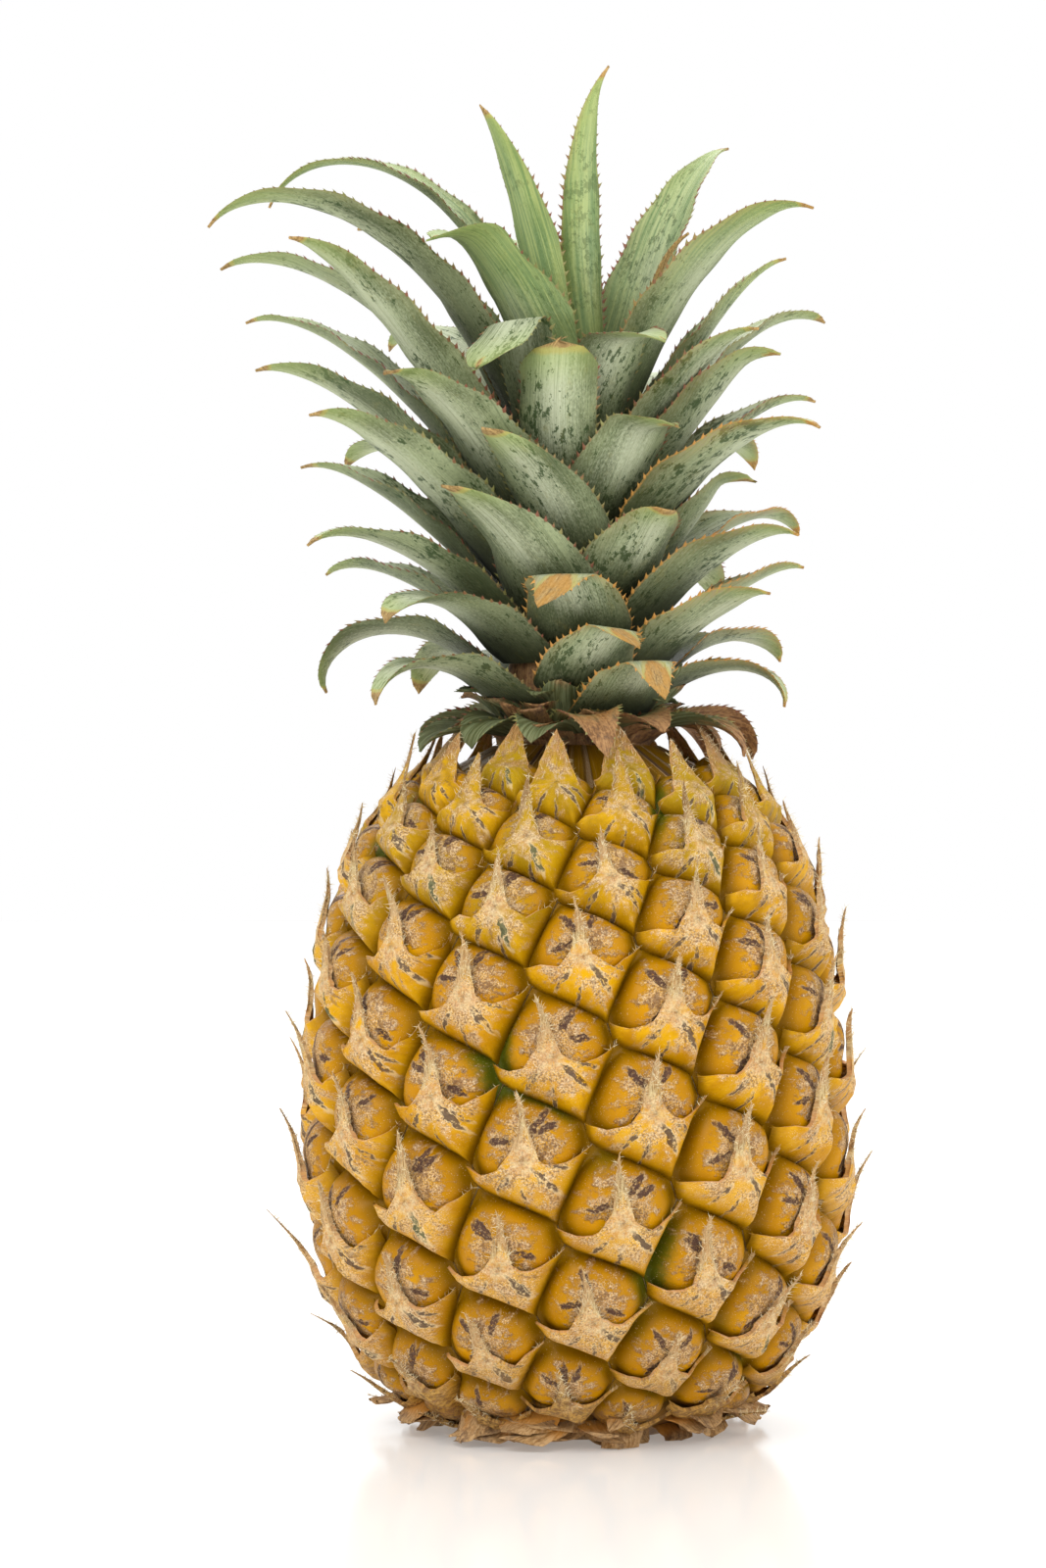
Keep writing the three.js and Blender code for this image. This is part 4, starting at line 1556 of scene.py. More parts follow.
@dataclass(frozen=True)
class LeafFinish:
    """A leaf's bloom, rubbed through in places, with its striations, pale edge line and dry end."""

    bloom: str = "98A27A"
    shade: str = "5E6846"
    deep: str = "33381E"
    green: str = "608246"
    rubbed: str = "2C4419"
    lime: str = "A2B266"
    yellow: str = "B2A250"
    silver: str = "CBD1B2"
    edge: str = "96694A"
    straw: str = "BE9A66"
    brown: str = "6C4C30"
    orange: str = "BE8434"

    def material(self) -> Material:
        """Builds the finish.

        Returns:
            The material, which reads most of the values that a blade gives its points.
        """
        p = Paint("leaf")
        blade = p.vector("blade")
        across, share, inner = p.number("across"), p.number("share"), p.number("inner")
        dry, young, flush = p.number("dry"), p.number("young"), p.number("flush")
        streak = p.grain(blade, 2.0, 0.05, 4, 0.6)
        lines = p.grain(blade, 5.5, 0.05, 2, 0.5)
        broad = p.grain(blade, 0.12, 0.05, 3, 0.5)
        rub = p.grain(blade, 0.9, 0.42, 5, 0.75)
        where = p.grain(blade, 0.1, 0.07, 2, 0.5)
        powder = p.grain(blade, 3.2, 1.4, 4, 0.75)
        bloom = p.mix((broad * 0.6 + powder * 0.4).step(0.38, 0.6), self.shade, self.bloom)
        # Silver bloom, made paler along the leaf's middle and away from its root: the bloom's own pale tone,
        # with a painted highlight on the leaf's crest.
        crown = (1.0 - abs(across) * 0.9) * share.step(0.1, 0.5)
        bloom = p.mix((streak * 0.4 + powder * 0.4 + crown * 0.5).step(0.55, 0.95) * 0.75, bloom, self.silver)
        fresh = p.mix(streak.step(0.35, 0.65), self.green, self.lime)
        clean = (young * 0.7 + share.step(0.5, 1.0) * 0.5 + inner * 0.15 + (broad - 0.5) * 0.7).step(0.2, 0.9)
        body = p.mix(clean * 0.75, bloom, fresh)
        body = p.mix(lines.step(0.5, 0.68) * (0.36 - young * 0.3), body, self.rubbed)
        pale = inner * share.step(0.35, 0.8) * (1.0 - young)
        body = p.mix(pale * streak.step(0.3, 0.6) * 0.55, body, self.silver)
        bare = (rub + (where - 0.5) * 0.5).step(0.585, 0.615)
        body = p.mix(bare * (0.85 - young * 0.4), body, self.rubbed)
        body = p.mix(share.step(0.7, 1.0) * 0.5, body, self.lime)
        # Painted shade: darker towards the leaf's root, deep inside the crown.
        shaded = (share + (powder - 0.5) * 0.3).step(0.6, 0.1) * (1.0 - young * 0.5)
        body = p.mix(shaded * 0.85, body, self.deep)
        warm = (abs(across) + (streak - 0.5) * 0.5).step(0.6, 1.05) * share.step(0.15, 0.9) * flush
        body = p.mix(warm * 0.7, body, p.mix(powder.step(0.4, 0.6), self.yellow, self.edge))
        line = (abs(across) + (powder - 0.5) * 0.05).step(0.96, 0.995) * powder.step(0.35, 0.55)
        body = p.mix(line * (0.2 + flush * 0.4), body, p.mix(flush, self.edge, self.orange))
        ragged = p.grain(blade, 0.5, 0.25, 4, 0.65) - 0.5
        parched = (dry + ragged * 0.9).step(0.4, 0.7)
        body = p.mix((dry + ragged * 0.5).step(0.02, 0.3) * 0.6, body, self.yellow)
        husk = p.mix((streak * 0.4 + powder * 0.6).step(0.38, 0.62), self.brown, self.straw)
        husk = p.mix(ragged.step(-0.14, 0.1) * flush * 0.75, husk, self.orange)
        body = p.mix(parched * 0.85, body, husk)
        rough = 0.6 + parched * 0.2 - clean * 0.08
        relief = streak * 0.5 + lines * 0.4 + powder * 0.3 + rub * 0.3
        shine = {"Sheen_Weight": 0.05, "Sheen_Roughness": 0.4, "Specular_IOR_Level": 0.25}
        return p.finish(body, rough, relief, 0.25, **shine)


@dataclass(frozen=True)
class SpineFinish:
    """The teeth on the leaves' edges, from red-brown to amber."""

    red: str = "84503A"
    green: str = "8C8A50"
    amber: str = "C48E44"

    def material(self) -> Material:
        """Builds the finish.

        Returns:
            The material, which reads the points' "flush".
        """
        p = Paint("leaf_spine")
        flush = p.number("flush")
        patch = p.noise(p.place(), 70, 2)
        ripple = p.noise(p.place(), 600, 2)
        body = p.mix((patch * 0.6 + ripple * 0.4).step(0.42, 0.6), self.red, self.green)
        body = p.mix((flush + patch - 0.5).step(0.45, 0.85), body, self.amber)
        return p.finish(body, 0.55)


@dataclass(frozen=True)
class WitheredFinish:
    """The dry papery leaves at the crown's foot."""

    name: str = "withered"
    brown: str = "6A4628"
    tan: str = "B48A5C"
    grey: str = "5A4438"
    orange: str = "C8841E"
    green: str = "4A5530"
    sage: str = "76835E"

    def material(self) -> Material:
        """Builds the finish.

        Returns:
            The material, which reads the points' "blade", "share" and "young".
        """
        p = Paint(self.name)
        blade, share, young = p.vector("blade"), p.number("share"), p.number("young")
        streak = p.grain(blade, 2.0, 0.08, 4, 0.65)
        blotch = p.grain(blade, 0.3, 0.12, 4, 0.6)
        body = p.mix((streak * 0.5 + blotch * 0.5).step(0.36, 0.64), self.brown, self.tan)
        body = p.mix(blotch.step(0.5, 0.64) * 0.7, body, self.grey)
        crumbs = p.grain(blade, 1.6, 0.9, 4, 0.75)
        body = p.mix(crumbs.step(0.5, 0.6) * 0.6, body, self.tan)
        body = p.mix(crumbs.step(0.47, 0.38) * 0.6, body, self.grey)
        own = p.split(blade)[2]
        bright = ((own * 1.7).sin() * 0.5 + blotch).step(0.72, 0.95) * (1.0 - young)
        body = p.mix(bright * share.step(0.8, 0.3) * 0.75, body, self.orange)
        green = (blotch * 0.5 - share * 0.45 + young * 0.8).step(0.3, 0.5)
        body = p.mix(green * 0.9, body, p.mix(streak.step(0.4, 0.64), self.green, self.sage))
        return p.finish(body, 0.75, streak, 0.3, Specular_IOR_Level=0.25)


# ======== the crown


@dataclass(frozen=True)
class TipPlace:
    """Where a leaf's tip lies, how the leaf is turned and folded, and how its end has dried.

    Lengths are in millimetres and angles in degrees. "torn" is how much of its width the leaf keeps at a torn
    end, "dry" is how much of its length has dried from the tip, and "young" is how little bloom it has.
    """

    across: float | None = None
    height: float = 0.0
    reach: float | None = None
    fold: float = 0.0
    fold_at: float = 1.0
    turn: float | None = None
    width: float | None = None
    root: float | None = None
    clasp: float = 0.63
    bow: float = 0.0
    torn: float = 0.0
    dry: float = 0.03
    young: float = 0.0


TIPS: dict[int, TipPlace] = {
    0: TipPlace(17, 147, 36, 110, 0.67, dry=0.32),
    2: TipPlace(-40, 146, dry=0.05),
    3: TipPlace(42, 146, dry=0.05),
    5: TipPlace(12, 157, 34, 100, 0.72, turn=8, dry=0.28),
    6: TipPlace(43, 156, turn=-15),
    7: TipPlace(-51, 149),
    8: TipPlace(38, 168, turn=8),
    10: TipPlace(-38, 162, turn=-14),
    11: TipPlace(47, 175),
    12: TipPlace(-52, 174, turn=12),
    13: TipPlace(-8, 165, 33, 120, 0.67, turn=-13, dry=0.34),
    15: TipPlace(-54, 178, turn=-3),
    16: TipPlace(44, 180),
    18: TipPlace(-27, 189, 38, turn=-4, dry=0.04),
    20: TipPlace(-57, 196),
    21: TipPlace(18, 184, 36, width=23, dry=0.05),
    23: TipPlace(-53, 203, turn=-12),
    24: TipPlace(36, 192, fold=50, fold_at=0.8, turn=-2, width=22, torn=0.5, dry=0.12),
    26: TipPlace(-19, 200, 36, turn=-8, width=22, dry=0.04),
    28: TipPlace(-65, 214, turn=-2),
    29: TipPlace(48, 201, turn=8),
    31: TipPlace(-38, 210, turn=-14),
    32: TipPlace(50, 210),
    33: TipPlace(-69, 227, turn=6),
    34: TipPlace(19, 201, 34, 60, 0.72, torn=0.35, dry=0.1),
    36: TipPlace(-57, 238),
    37: TipPlace(41, 217, fold=25, fold_at=0.85, dry=0.06),
    39: TipPlace(-4, 218, 27, turn=-5, width=20.5, root=40, torn=0.85, dry=0.035),
    40: TipPlace(53, 228, turn=-8),
    41: TipPlace(-73, 236),
    42: TipPlace(36, 221, turn=17, width=16.5),
    44: TipPlace(-20, 212, 37, 130, 0.66, turn=12, width=18, torn=0.75, dry=0.04),
    45: TipPlace(43, 238, young=0.3),
    46: TipPlace(-46, 248, young=0.3),
    47: TipPlace(17, 217, 36, 60, 0.65, width=21),
    48: TipPlace(33, 266, turn=-9, width=22, root=20, young=0.55),
    49: TipPlace(-74, 242, turn=-5),
    50: TipPlace(46.4, 244, turn=-4, young=0.4),
    52: TipPlace(-29, 239, 33, 40, 0.86, turn=-14, width=31, clasp=0.78, torn=0.6, young=0.8),
    53: TipPlace(23, 243, turn=-22, width=9, dry=0.5),
    54: TipPlace(-64, 251, young=0.4),
    55: TipPlace(6.4, 275, 11, turn=28, width=8, bow=-4, young=0.8),
    57: TipPlace(-19.6, 267, 20, turn=24, width=17, root=14, clasp=0.5, young=0.9),
}


@dataclass
class Stem:
    """The crown's stem: its radius and height at places up it."""

    outline: Knots = (
        (15, 138.7), (14.6, 146), (13.4, 158), (11.4, 172), (9, 187), (6.6, 198), (4, 206), (0, 209),
    )
    sides: int = 32

    def radius(self, height: float) -> float:
        """Gives the stem's radius at a height."""
        radii, heights = zip(*self.outline)
        return float(np.interp(height, heights, radii, right=0.0))


@dataclass
class Blade:
    """One leaf's blade: its sizes, its middle line and its surface. Angles are in radians.

    It starts at a height and at "start" from the axis. "aside" and "bow" push its tip and middle sideways,
    "hook" curls its very end, "clasp" limits its half width to a share of its distance from the axis, and
    "channel" is how deep its middle lies. Its random values come from "seed". The rest is as in TipPlace.
    """

    azimuth: float
    height: float
    start: float
    half_width: float
    root_angle: float
    tip_angle: float
    length: float
    aside: float
    hook: float = math.radians(35)
    fold: float = 0.0
    fold_at: float = 1.0
    clasp: float = 0.63
    bow: float = 0.0
    gentle_fold: float = 0.9
    sharp_fold: float = 1.5
    torn: float = 0.0
    torn_end: float = 0.14
    dry: float = 0.03
    young: float = 0.0
    flush: float = 0.0
    channel: float = 0.26
    seed: int = 0
    columns: int = 13
    row_length: float = 1.7
    thick: tuple[float, float] = (1.5, 0.6)

    def angle(self, share: Array) -> Array:
        """Gives the middle line's direction.

        Args:
            share: Shares of the length.

        Returns:
            Its angles from upright.
        """
        curl = self.hook * share**10
        folded = self.fold * smooth(share, self.fold_at - 0.06, self.fold_at + 0.06)
        return lerp(self.root_angle, self.tip_angle, share * share) + curl + folded

    def flat(self, share: Array) -> Array:
        """Gives how much of its channel the blade keeps, as it lies flat where it folds sharply."""
        sharp = min(1.0, max(0.0, self.fold - self.gentle_fold))
        return 1 - sharp * smooth(share, self.fold_at - 0.22, self.fold_at - 0.06)

    def line(self, steps: int) -> Array:
        """Gives the middle line.

        Args:
            steps: How many even steps it has.

        Returns:
            One row a step of share, distance from the axis, height and angle from upright.
        """
        share = np.arange(steps + 1) / steps
        middle = self.angle((np.arange(steps) + 0.5) / steps)
        step = self.length / steps
        r = self.start + np.concatenate([[0], np.cumsum(np.sin(middle))]) * step
        z = self.height + np.concatenate([[0], np.cumsum(np.cos(middle))]) * step
        return np.column_stack([share, r, z, self.angle(share)])

    def aim(self, tip: TipPlace) -> None:
        """Sets the length and the bend so that the tip comes where it should.

        Args:
            tip: The tip's place.
        """
        side = math.sin(self.azimuth)
        reach = tip.reach or tip.across / side
        self.aside = (tip.across - reach * side) / math.cos(self.azimuth) if tip.reach else 0.0
        wanted = (reach - self.start, tip.height - self.height)
        bearing = math.atan2(*wanted)
        if not tip.root:
            self.root_angle = min(self.root_angle, bearing - 0.1)
        self.length = 1.0
        low, high = -1.5, 3.6
        for _ in range(30):
            self.tip_angle = (low + high) / 2
            _, r, z, _ = self.line(60)[-1]
            if math.atan2(r - self.start, z - self.height) < bearing:
                low = self.tip_angle
            else:
                high = self.tip_angle
        _, r, z, _ = self.line(60)[-1]
        self.length = math.hypot(*wanted) / math.hypot(r - self.start, z - self.height)

    def half(self, share: Array, r: Array) -> Array:
        """Gives the half width at shares of the length.

        Args:
            share: Shares of the length.
            r: The middle line's distance from the axis there.

        Returns:
            The half widths, in millimetres.
        """
        taper = (1 - share) ** 0.8 * (1 + 0.9 * share)
        if self.fold > self.sharp_fold:
            taper = taper * (1 - 0.3 * smooth(share, self.fold_at - 0.1, self.fold_at + 0.08))
        if self.torn:
            taper = np.maximum(taper, self.torn * np.sqrt(np.clip((1 - share) / self.torn_end, 0, 1)))
        return np.minimum(self.half_width * taper, r * self.clasp)

    def at(self, rows: Array, across: Array, raised: Array) -> Array:
        """Gives places on the blade.

        Args:
            rows: The middle line, as line() gives it.
            across: Places across the blade, from -1 at its left edge to 1 at its right, one row a step.
            raised: How far each is raised towards the outer face.

        Returns:
            An array of rows by places by x, y and z, in millimetres.
        """
        share, r, z, angle = (rows[:, i][:, None] for i in range(4))
        half = self.half(share, r)
        direction = self.azimuth + across * half / np.maximum(r, 1)
        zero, one = np.zeros_like(direction), np.ones_like(direction)
        outward = np.stack([np.sin(direction), -np.cos(direction), zero], axis=-1)
        sideways = np.stack([np.cos(direction), np.sin(direction), zero], axis=-1)
        up = np.stack([zero, zero, one], axis=-1)
        cosine, sine = np.cos(angle)[..., None], np.sin(angle)[..., None]
        normal = outward * cosine - up * sine
        deep = self.channel * half * across**2 * smooth(share, 0.06, 0.45) * self.flat(share)
        ripple = 0.05 * half * across**2 * np.sin(share * self.length / 2.3 + self.seed + 2 * np.sign(across))
        twist = across * half * 0.22 * float(sway(self.seed, 31, 7)) * share**2
        aside = self.aside * share**2 + 4 * self.bow * share * (1 - share)
        lift = raised - deep + ripple * smooth(share, 0.15, 0.5) + twist
        steps = ((outward, r), (up, z), (normal, lift), (sideways, aside))
        return sum(way * length[..., None] for way, length in steps)

    def _end_faces(self, loop: int, steps: int) -> list[tuple[int, int, int]]:
        """Numbers the faces that close the blade's two ends.

        Args:
            loop: How many points there are round the blade.
            steps: How many steps there are along it.

        Returns:
            Three point numbers a face.
        """
        found = []
        for row, flip in ((0, True), (steps, False)):
            for j in range(self.columns - 1):
                a, b = row * loop + j, row * loop + j + 1
                c, d = row * loop + loop - j - 1, row * loop + (loop - j) % loop
                face = [(a, b, c), (a, c, d)] if j else [(a, b, c)]
                found += [corners[::-1] if flip else corners for corners in face if len(set(corners)) == 3]
        return found

    def _frames(self, points: Array) -> tuple[Array, Array]:
        """Gives the ways out of the blade and towards its tip, at the points on its two edges.

        Args:
            points: The blade's rows of points.

        Returns:
            A unit vector outwards and one towards the tip for each point, and nothing for the others.
        """
        outward, tipward = np.zeros_like(points), np.zeros_like(points)
        ahead = np.gradient(points, axis=0)
        for j in (0, self.columns - 1):
            tipward[:, j] = unit(ahead[:, j])
            away = points[:, j] - points[:, self.columns // 2]
            away -= tipward[:, j] * np.sum(away * tipward[:, j], axis=1)[:, None]
            outward[:, j] = unit(away)
        return outward, tipward

    def add_to(self, skin: Skin) -> None:
        """Adds the closed blade to a mesh.

        Args:
            skin: The mesh in the making.
        """
        steps = max(14, round(self.length / self.row_length * (1 + 0.5 * min(self.fold, 1))))
        rows = self.line(steps)
        share = rows[:, [0]]
        spread = np.sin(np.linspace(-1, 1, self.columns) * PI / 2)
        across = np.concatenate([spread, spread[-2:0:-1]])
        inner = np.concatenate([np.zeros(self.columns), np.ones(self.columns - 2)])
        lens = np.sqrt(np.maximum(0, 1 - across**2)) * 0.9 + 0.1 * (1 - across**2)
        raised = np.where(inner > 0.5, -1, 1) * lens * lerp(*self.thick, share) / 2
        loop = len(across)
        shape = (steps + 1, loop)
        wide = np.broadcast_to(across, shape)
        points = self.at(rows, wide, raised)
        if self.torn:
            ragged = 0.6 * sway(np.arange(loop), 33, self.seed)
            points[-1] += (points[-1] - points[-2]) * ragged[:, None]
        faces = halved(grid_faces(steps + 1, loop, closed=True))
        late_rim = 0.2 * min(self.fold, 1) * np.abs(wide) ** 1.4
        dry = np.clip((share - late_rim - (1 - self.dry * 1.15)) / max(self.dry * 0.3, 0.01), 0, 1)
        tooth = np.zeros(shape)
        tooth[:, [0, self.columns - 1]] = np.minimum(1, 2.6 * (1 - share) + 0.15) * smooth(share, 0.08, 0.2)
        outward, tipward = self._frames(points)
        values = {"across": wide, "share": share, "inner": inner, "dry": dry, "young": self.young}
        values |= {"flush": self.flush, "tooth": tooth, "brink": tooth > 0}
        flat = {name: np.broadcast_to(value, shape).ravel().astype(float) for name, value in values.items()}
        half = self.half(share, rows[:, [1]])
        along = np.broadcast_to(share * self.length, shape)
        blade = np.dstack([wide * half, along, np.full(shape, self.seed * 7.3)])
        ways = {"blade": blade, "outward": outward, "tipward": tipward}
        flat |= {name: value.reshape(-1, 3) for name, value in ways.items()}
        skin.add(points.reshape(-1, 3), np.vstack([faces, self._end_faces(loop, steps)]), **flat)


@dataclass(frozen=True)
class Stage:
    """The lengths, widths and angles at root and tip of the leaves at a share of the way up the stem."""

    at: float
    length: float
    width: float
    root: float
    tip: float


@dataclass
class Crown:
    """The crown: its stem, the withered leaves at its foot, and the spiral of leaves with their teeth."""

    stem: Stem = field(default_factory=Stem)
    count: int = 58
    divergence: float = GOLDEN_ANGLE
    first_azimuth: float = math.radians(28)
    first_height: float = 144.5
    height_gained: float = 61.5
    root_gap: float = 1.3
    width_spread: float = 0.06
    length_spread: float = 0.1
    turn_spread: float = 3.0
    tip_spread: float = 9.0
    aside_spread: float = 4.0
    seed: int = 7
    stages: tuple[Stage, ...] = (
        Stage(0.0, 38, 19, 62, 140), Stage(0.12, 44, 22, 56, 135), Stage(0.3, 54, 25, 46, 118),
        Stage(0.5, 68, 25, 40, 100), Stage(0.7, 78, 24, 34, 86), Stage(0.86, 66, 21, 27, 62),
        Stage(1.0, 40, 12, 8, 24),
    )
    tooth_pitch: float = 2.0
    tooth_height: float = 0.95
    withered: Husks = Husks(
        count=13, first=100, seed=8, length=26.0, width=15.0, root=math.radians(76), tip=math.radians(138),
        spreads=(0.1, 0.2, 0.08, 0.35, 0.3, 3.0, 0.0), hook=0.6, columns=13, row_length=1.7,
    )
    withered_first: float = math.radians(-72)
    withered_height: float = 140.1
    withered_gain: float = 2.4
    withered_sunk: float = 2.2
    sunk_height: float = 136.5
    scales: Husks = Husks(
        count=46, first=200, seed=9, length=11.0, width=8.0, root=math.radians(58), tip=math.radians(88),
        spreads=(0.15, 0.3, 0.3, 0.7, 0.35, 3.0, 0.9),
    )
    scale_turn: float = 0.6
    scale_height: float = 137.6
    scale_gain: float = 8.6
    scale_sunk: float = 1.5
    foot_seed: int = 99

    def __post_init__(self) -> None:
        """Makes the finishes and the tree that grows the teeth."""
        self.leaf_finish = LeafFinish().material()
        self.spine_finish = SpineFinish().material()
        self.withered_finish = WitheredFinish().material()
        self.teeth = self._teeth_tree()
        self.thorn = self._thorn()

    def build(self) -> None:
        """Makes the pieces and hands them over."""
        hand_over(self._foot(), "crown_stem")
        for k in range(self.count):
            hand_over(self._leaf(k), f"crown_leaf_{k + 1:02d}")
        bpy.data.objects.remove(self.thorn)

    def _stage(self, share: float, name: str) -> float:
        """Gives one of the leaves' sizes at a share of the way up the stem."""
        return float(np.interp(share, [s.at for s in self.stages], [getattr(s, name) for s in self.stages]))

    def _blade(self, k: int) -> Blade:
        """Gives a leaf's own blade.

        Args:
            k: The leaf's number, from the lowest.

        Returns:
            The blade, aimed where its tip should be.
        """
        share = k / (self.count - 1)
        tip = TIPS.get(k, TipPlace())
        spread = [float(sway(k, use, self.seed)) for use in range(6)]
        height = self.first_height + self.height_gained * share
        width = tip.width or self._stage(share, "width") * (1 + self.width_spread * spread[3])
        turn = self.turn_spread * spread[1] if tip.turn is None else tip.turn
        blade = Blade(
            azimuth=self.first_azimuth + k * self.divergence + math.radians(turn),
            height=height,
            start=self.stem.radius(height) + self.root_gap,
            half_width=width / 2,
            root_angle=math.radians(tip.root or self._stage(share, "root")),
            tip_angle=math.radians(self._stage(share, "tip") + self.tip_spread * spread[4]),
            length=self._stage(share, "length") * (1 + self.length_spread * spread[2]),
            aside=self.aside_spread * spread[5],
            fold=math.radians(tip.fold),
            fold_at=tip.fold_at,
            clasp=tip.clasp,
            bow=tip.bow,
            torn=tip.torn,
            dry=tip.dry + 0.05 * max(0.0, spread[0]) * (1 - share),
            young=tip.young + 0.3 * float(smooth(share, 0.75, 1.0)),
            seed=k,
        )
        blade.flush = self._flush(blade, share, spread[5])
        if tip.across is not None:
            blade.aim(tip)
        return blade

    @staticmethod
    def _flush(blade: Blade, share: float, chance: float) -> float:
        """Gives how red and amber a leaf is at its edges: most on the right and low in the crown.

        Args:
            blade: The leaf's blade.
            share: How far up the stem it stands.
            chance: A random number of its own.

        Returns:
            The flush, from 0 to 1.
        """
        if blade.fold > blade.sharp_fold and not blade.torn:
            return 0.85
        low = 1 - float(smooth(share, 0.2, 0.8))
        flush = min(1.0, max(0.0, 0.25 + 0.55 * math.sin(blade.azimuth) * (0.4 + low) + 0.3 * chance))
        return flush * (0.3 if blade.torn else 1.0)

    def _leaf(self, k: int) -> Piece:
        """Makes one leaf with its teeth.

        Args:
            k: The leaf's number, from the lowest.

        Returns:
            The leaf.
        """
        skin = Skin()
        self._blade(k).add_to(skin)
        return self._with_teeth(skin.build(f"leaf_{k + 1:02d}", self.leaf_finish), k)

    def _with_teeth(self, piece: Piece, seed: int) -> Piece:
        """Grows teeth along a piece's blades.

        Args:
            piece: The object.
            seed: The seed of the teeth's sizes.

        Returns:
            The same object.
        """
        self.teeth.apply(piece, self.thorn, Seed=seed)
        shade_smooth(piece)
        return piece

    def _foot(self) -> Piece:
        """Makes the stem with the withered leaves and dry scales that have grown together with it.

        Returns:
            The crown's foot, as one piece.
        """
        skin = Skin()
        for i in range(self.withered.count):
            self._withered(i).add_to(skin)
        for i in range(self.scales.count):
            self._scale(i).add_to(skin)
        self._add_stem(skin)
        return self._with_teeth(skin.build("crown_foot", self.withered_finish), self.foot_seed)

    def _withered(self, i: int) -> Blade:
        """Gives one of the withered leaves at the crown's foot.

        Args:
            i: The leaf's number, from the lowest.

        Returns:
            The blade.
        """
        young = 0.75 + 0.4 * self.withered.chances(i)[0]
        azimuth = self.withered_first + i * self.divergence
        height = self.withered_height + self.withered_gain * i / self.withered.count
        start = self.stem.radius(height) - self.withered_sunk
        return self.withered.blade(i, azimuth, height, start, channel=0.34, young=young)

    def _scale(self, i: int) -> Blade:
        """Gives one of the short dry scales round the neck, wider and more upright further up.

        Args:
            i: The scale's number, from the lowest.

        Returns:
            The blade.
        """
        torn = 0.35 + 0.35 * self.scales.chances(i)[1]
        upward = i / self.scales.count
        azimuth = self.withered_first + self.scale_turn + i * self.divergence
        height = self.scale_height + self.scale_gain * upward
        start = self.stem.radius(height) - self.scale_sunk
        blade = self.scales.blade(i, azimuth, height, start, channel=0.3, torn=torn, young=1.25 * upward)
        blade.half_width += self.scales.width / 4 * upward
        blade.root_angle -= math.radians(16 * upward)
        return blade

    def _add_stem(self, skin: Skin) -> None:
        """Adds the stem, closed at its foot and its top, to a mesh.

        Args:
            skin: The mesh in the making.
        """
        base, _ = self.stem.outline[0]
        profile = [(0.0, self.sunk_height), (base, self.sunk_height), *self.stem.outline]
        around = np.arange(self.stem.sides) * TAU / self.stem.sides
        circle = np.column_stack([np.sin(around), -np.cos(around)])
        points = np.vstack([np.insert(circle * max(r, 0.01), 2, z, axis=1) for r, z in profile])
        faces = halved(grid_faces(len(profile), self.stem.sides, closed=True))
        none, ways = np.zeros(len(points)), np.zeros((len(points), 3))
        blade = np.column_stack([np.tile(around * 12, len(profile)), points[:, 2], none])
        plain_values = ("across", "share", "inner", "dry", "young", "flush", "tooth", "brink")
        skin.add(points, faces, blade=blade, outward=ways, tipward=ways, **dict.fromkeys(plain_values, none))

    def _teeth_tree(self) -> Grower:
        """Builds the tree that sets teeth along the edges of a blade.

        Returns:
            The tree, which reads the points' "brink", "tooth", "outward" and "tipward".
        """
        tree = Grower("leaf_teeth", {"Pitch": self.tooth_pitch * MM, "Least": 0.75, "Most": 1.25, "Seed": 0})
        both_ends = tree.add("FunctionNodeCompare", {"data_type": "FLOAT", "operation": "GREATER_THAN"}, {
            "A": tree.read("brink"),
            "B": 0.75,
        }).outputs[0]
        edges = tree.add("GeometryNodeMeshToCurve", inputs={
            "Mesh": tree.given("Geometry"),
            "Selection": both_ends,
        }).outputs[0]
        even = tree.add("GeometryNodeResampleCurve", {"mode": "LENGTH"}, {
            "Curve": edges,
            "Length": tree.given("Pitch"),
        }).outputs[0]
        turned = tree.add("FunctionNodeAxesToRotation", {"primary_axis": "Z", "secondary_axis": "X"}, {
            0: tree.read("outward", "FLOAT_VECTOR"),
            1: tree.read("tipward", "FLOAT_VECTOR"),
        }).outputs[0]
        size = Value(tree, tree.read("tooth")) * tree.random(tree.given("Seed"))
        joined = tree.add("GeometryNodeJoinGeometry")
        tree.feed(joined.inputs[0], tree.place(even, turned, size, self.spine_finish))
        tree.feed(joined.inputs[0], tree.given("Geometry"))
        tree.close(joined.outputs[0])
        return tree

    def _thorn(self) -> Piece:
        """Makes one tooth: outward is +Z, the leaf's tip lies towards +X.

        Returns:
            The object, not linked to the scene.
        """
        rings = ((-0.3, -0.7, 0.6, 0.22), (0.3, -0.1, 0.5, 0.16), (0.7, 0.42, 0.66, 0.08))
        points: list[Place] = []
        for level, back, front, thick in rings:
            middle = (back + front) / 2
            points += [(back, 0, level), (middle, -thick, level), (front, 0, level), (middle, thick, level)]
        points.append((0.82, 0, 1.0))
        faces = halved(grid_faces(len(rings), 4, closed=True)).tolist()
        faces += [(8 + i, 8 + (i + 1) % 4, 12) for i in range(4)]
        return single_shape("tooth", (np.array(points) * self.tooth_height * MM).tolist(), faces)


# ======== the studio


@dataclass(frozen=True)
class FloorFinish:
    """The pale smooth floor, which glows a little so that it stays white."""

    pale: tuple[float, ...] = (0.8, 0.795, 0.785, 1.0)
    glow: tuple[float, ...] = (1.0, 0.985, 0.96, 1.0)
    strength: float = 0.22
    rough: float = 0.14

    def material(self) -> Material:
        """Builds the finish.

        Returns:
            The material.
        """
        glow = {"Emission_Color": self.glow, "Emission_Strength": self.strength}
        return Paint("floor").finish(self.pale, self.rough, Specular_IOR_Level=0.6, **glow)


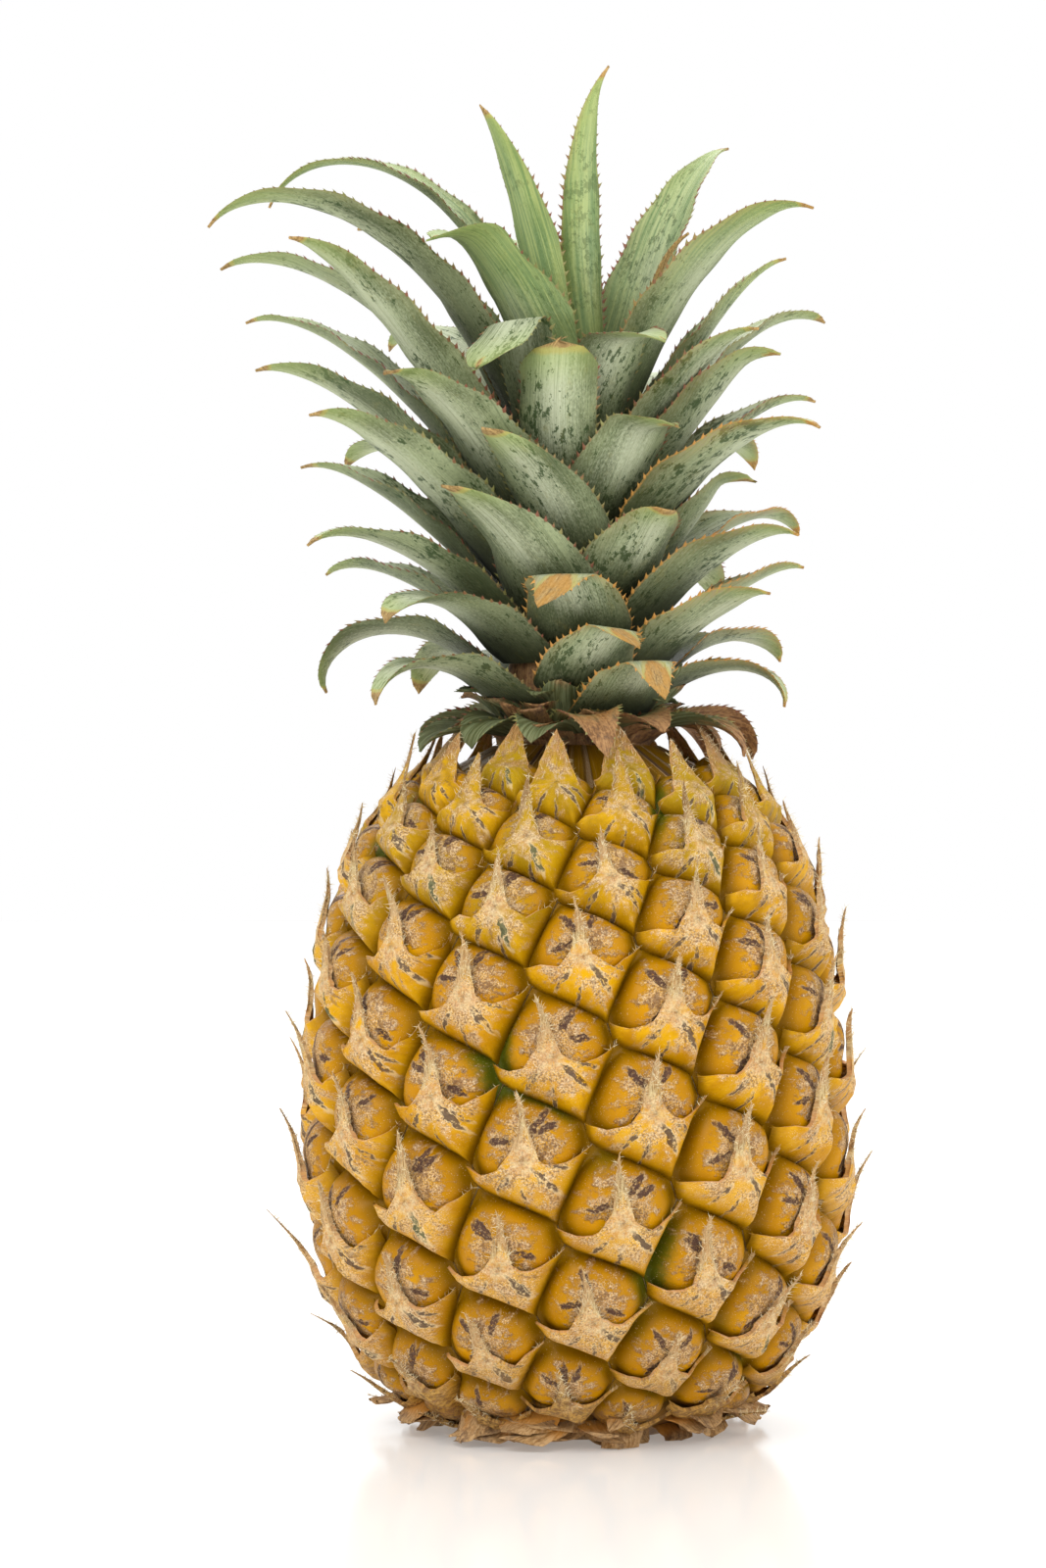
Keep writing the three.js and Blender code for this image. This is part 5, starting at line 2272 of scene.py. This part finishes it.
@dataclass(frozen=True)
class Lamp:
    """A large soft light: its place, the side of its square and its power in watts."""

    name: str
    place: Place
    side: float
    power: float

    def hang(self, target: Vector) -> None:
        """Hangs the light.

        Args:
            target: What it looks at.
        """
        lamp = bpy.data.lights.new(self.name, "AREA")
        lamp.size = self.side
        lamp.energy = self.power
        light = bpy.data.objects.new(self.name, lamp)
        light.location = self.place
        light.rotation_euler = (target - Vector(self.place)).to_track_quat("-Z", "Y").to_euler()
        bpy.context.scene.collection.objects.link(light)


@dataclass
class Studio:
    """A white floor, soft lights and the camera. Lengths here are in metres."""

    eye: Place = (-0.0109, -0.830, 0.1304)
    lens: float = 93.4
    floor: float = 6.0
    target: Place = (0.0, 0.0, 0.13)
    lamps: tuple[Lamp, ...] = (
        Lamp("key", (-0.6, -0.9, 1.1), side=0.8, power=9.0),
        Lamp("fill", (0.9, -0.7, 0.6), side=0.9, power=4.0),
        Lamp("rear", (0.0, 0.9, 0.9), side=1.0, power=8.0),
    )

    def build(self) -> None:
        """Sets the studio up."""
        scene = bpy.context.scene
        scene.view_settings.view_transform = "Standard"
        self._world()
        self._floor()
        for lamp in self.lamps:
            lamp.hang(Vector(self.target))
        camera = bpy.data.objects.new("camera", bpy.data.cameras.new("camera"))
        camera.data.lens = self.lens
        camera.location = self.eye
        camera.rotation_euler = (PI / 2, 0, 0)
        scene.collection.objects.link(camera)
        scene.camera = camera

    @staticmethod
    def _world() -> None:
        """Surrounds the scene with even white light."""
        world = bpy.data.worlds.new("surround")
        world.use_nodes = True
        background = world.node_tree.nodes["Background"]
        background.inputs["Color"].default_value = (1, 1, 1, 1)
        background.inputs["Strength"].default_value = 1.0
        bpy.context.scene.world = world

    def _floor(self) -> None:
        """Lays the floor."""
        half = self.floor / 2
        corners = [(-half, -half, 0), (half, -half, 0), (half, half, 0), (-half, half, 0)]
        floor = single_shape("floor", corners, [(0, 1, 2, 3)])
        floor.data.materials.append(FloorFinish().material())
        bpy.context.scene.collection.objects.link(floor)


def main() -> None:
    """Builds the pineapple and its studio."""
    logging.basicConfig(level=logging.INFO, format="%(name)s: %(message)s", stream=sys.stdout)
    Studio().build()
    Fruit().build()
    Crown().build()


if __name__ == "__main__":
    main()
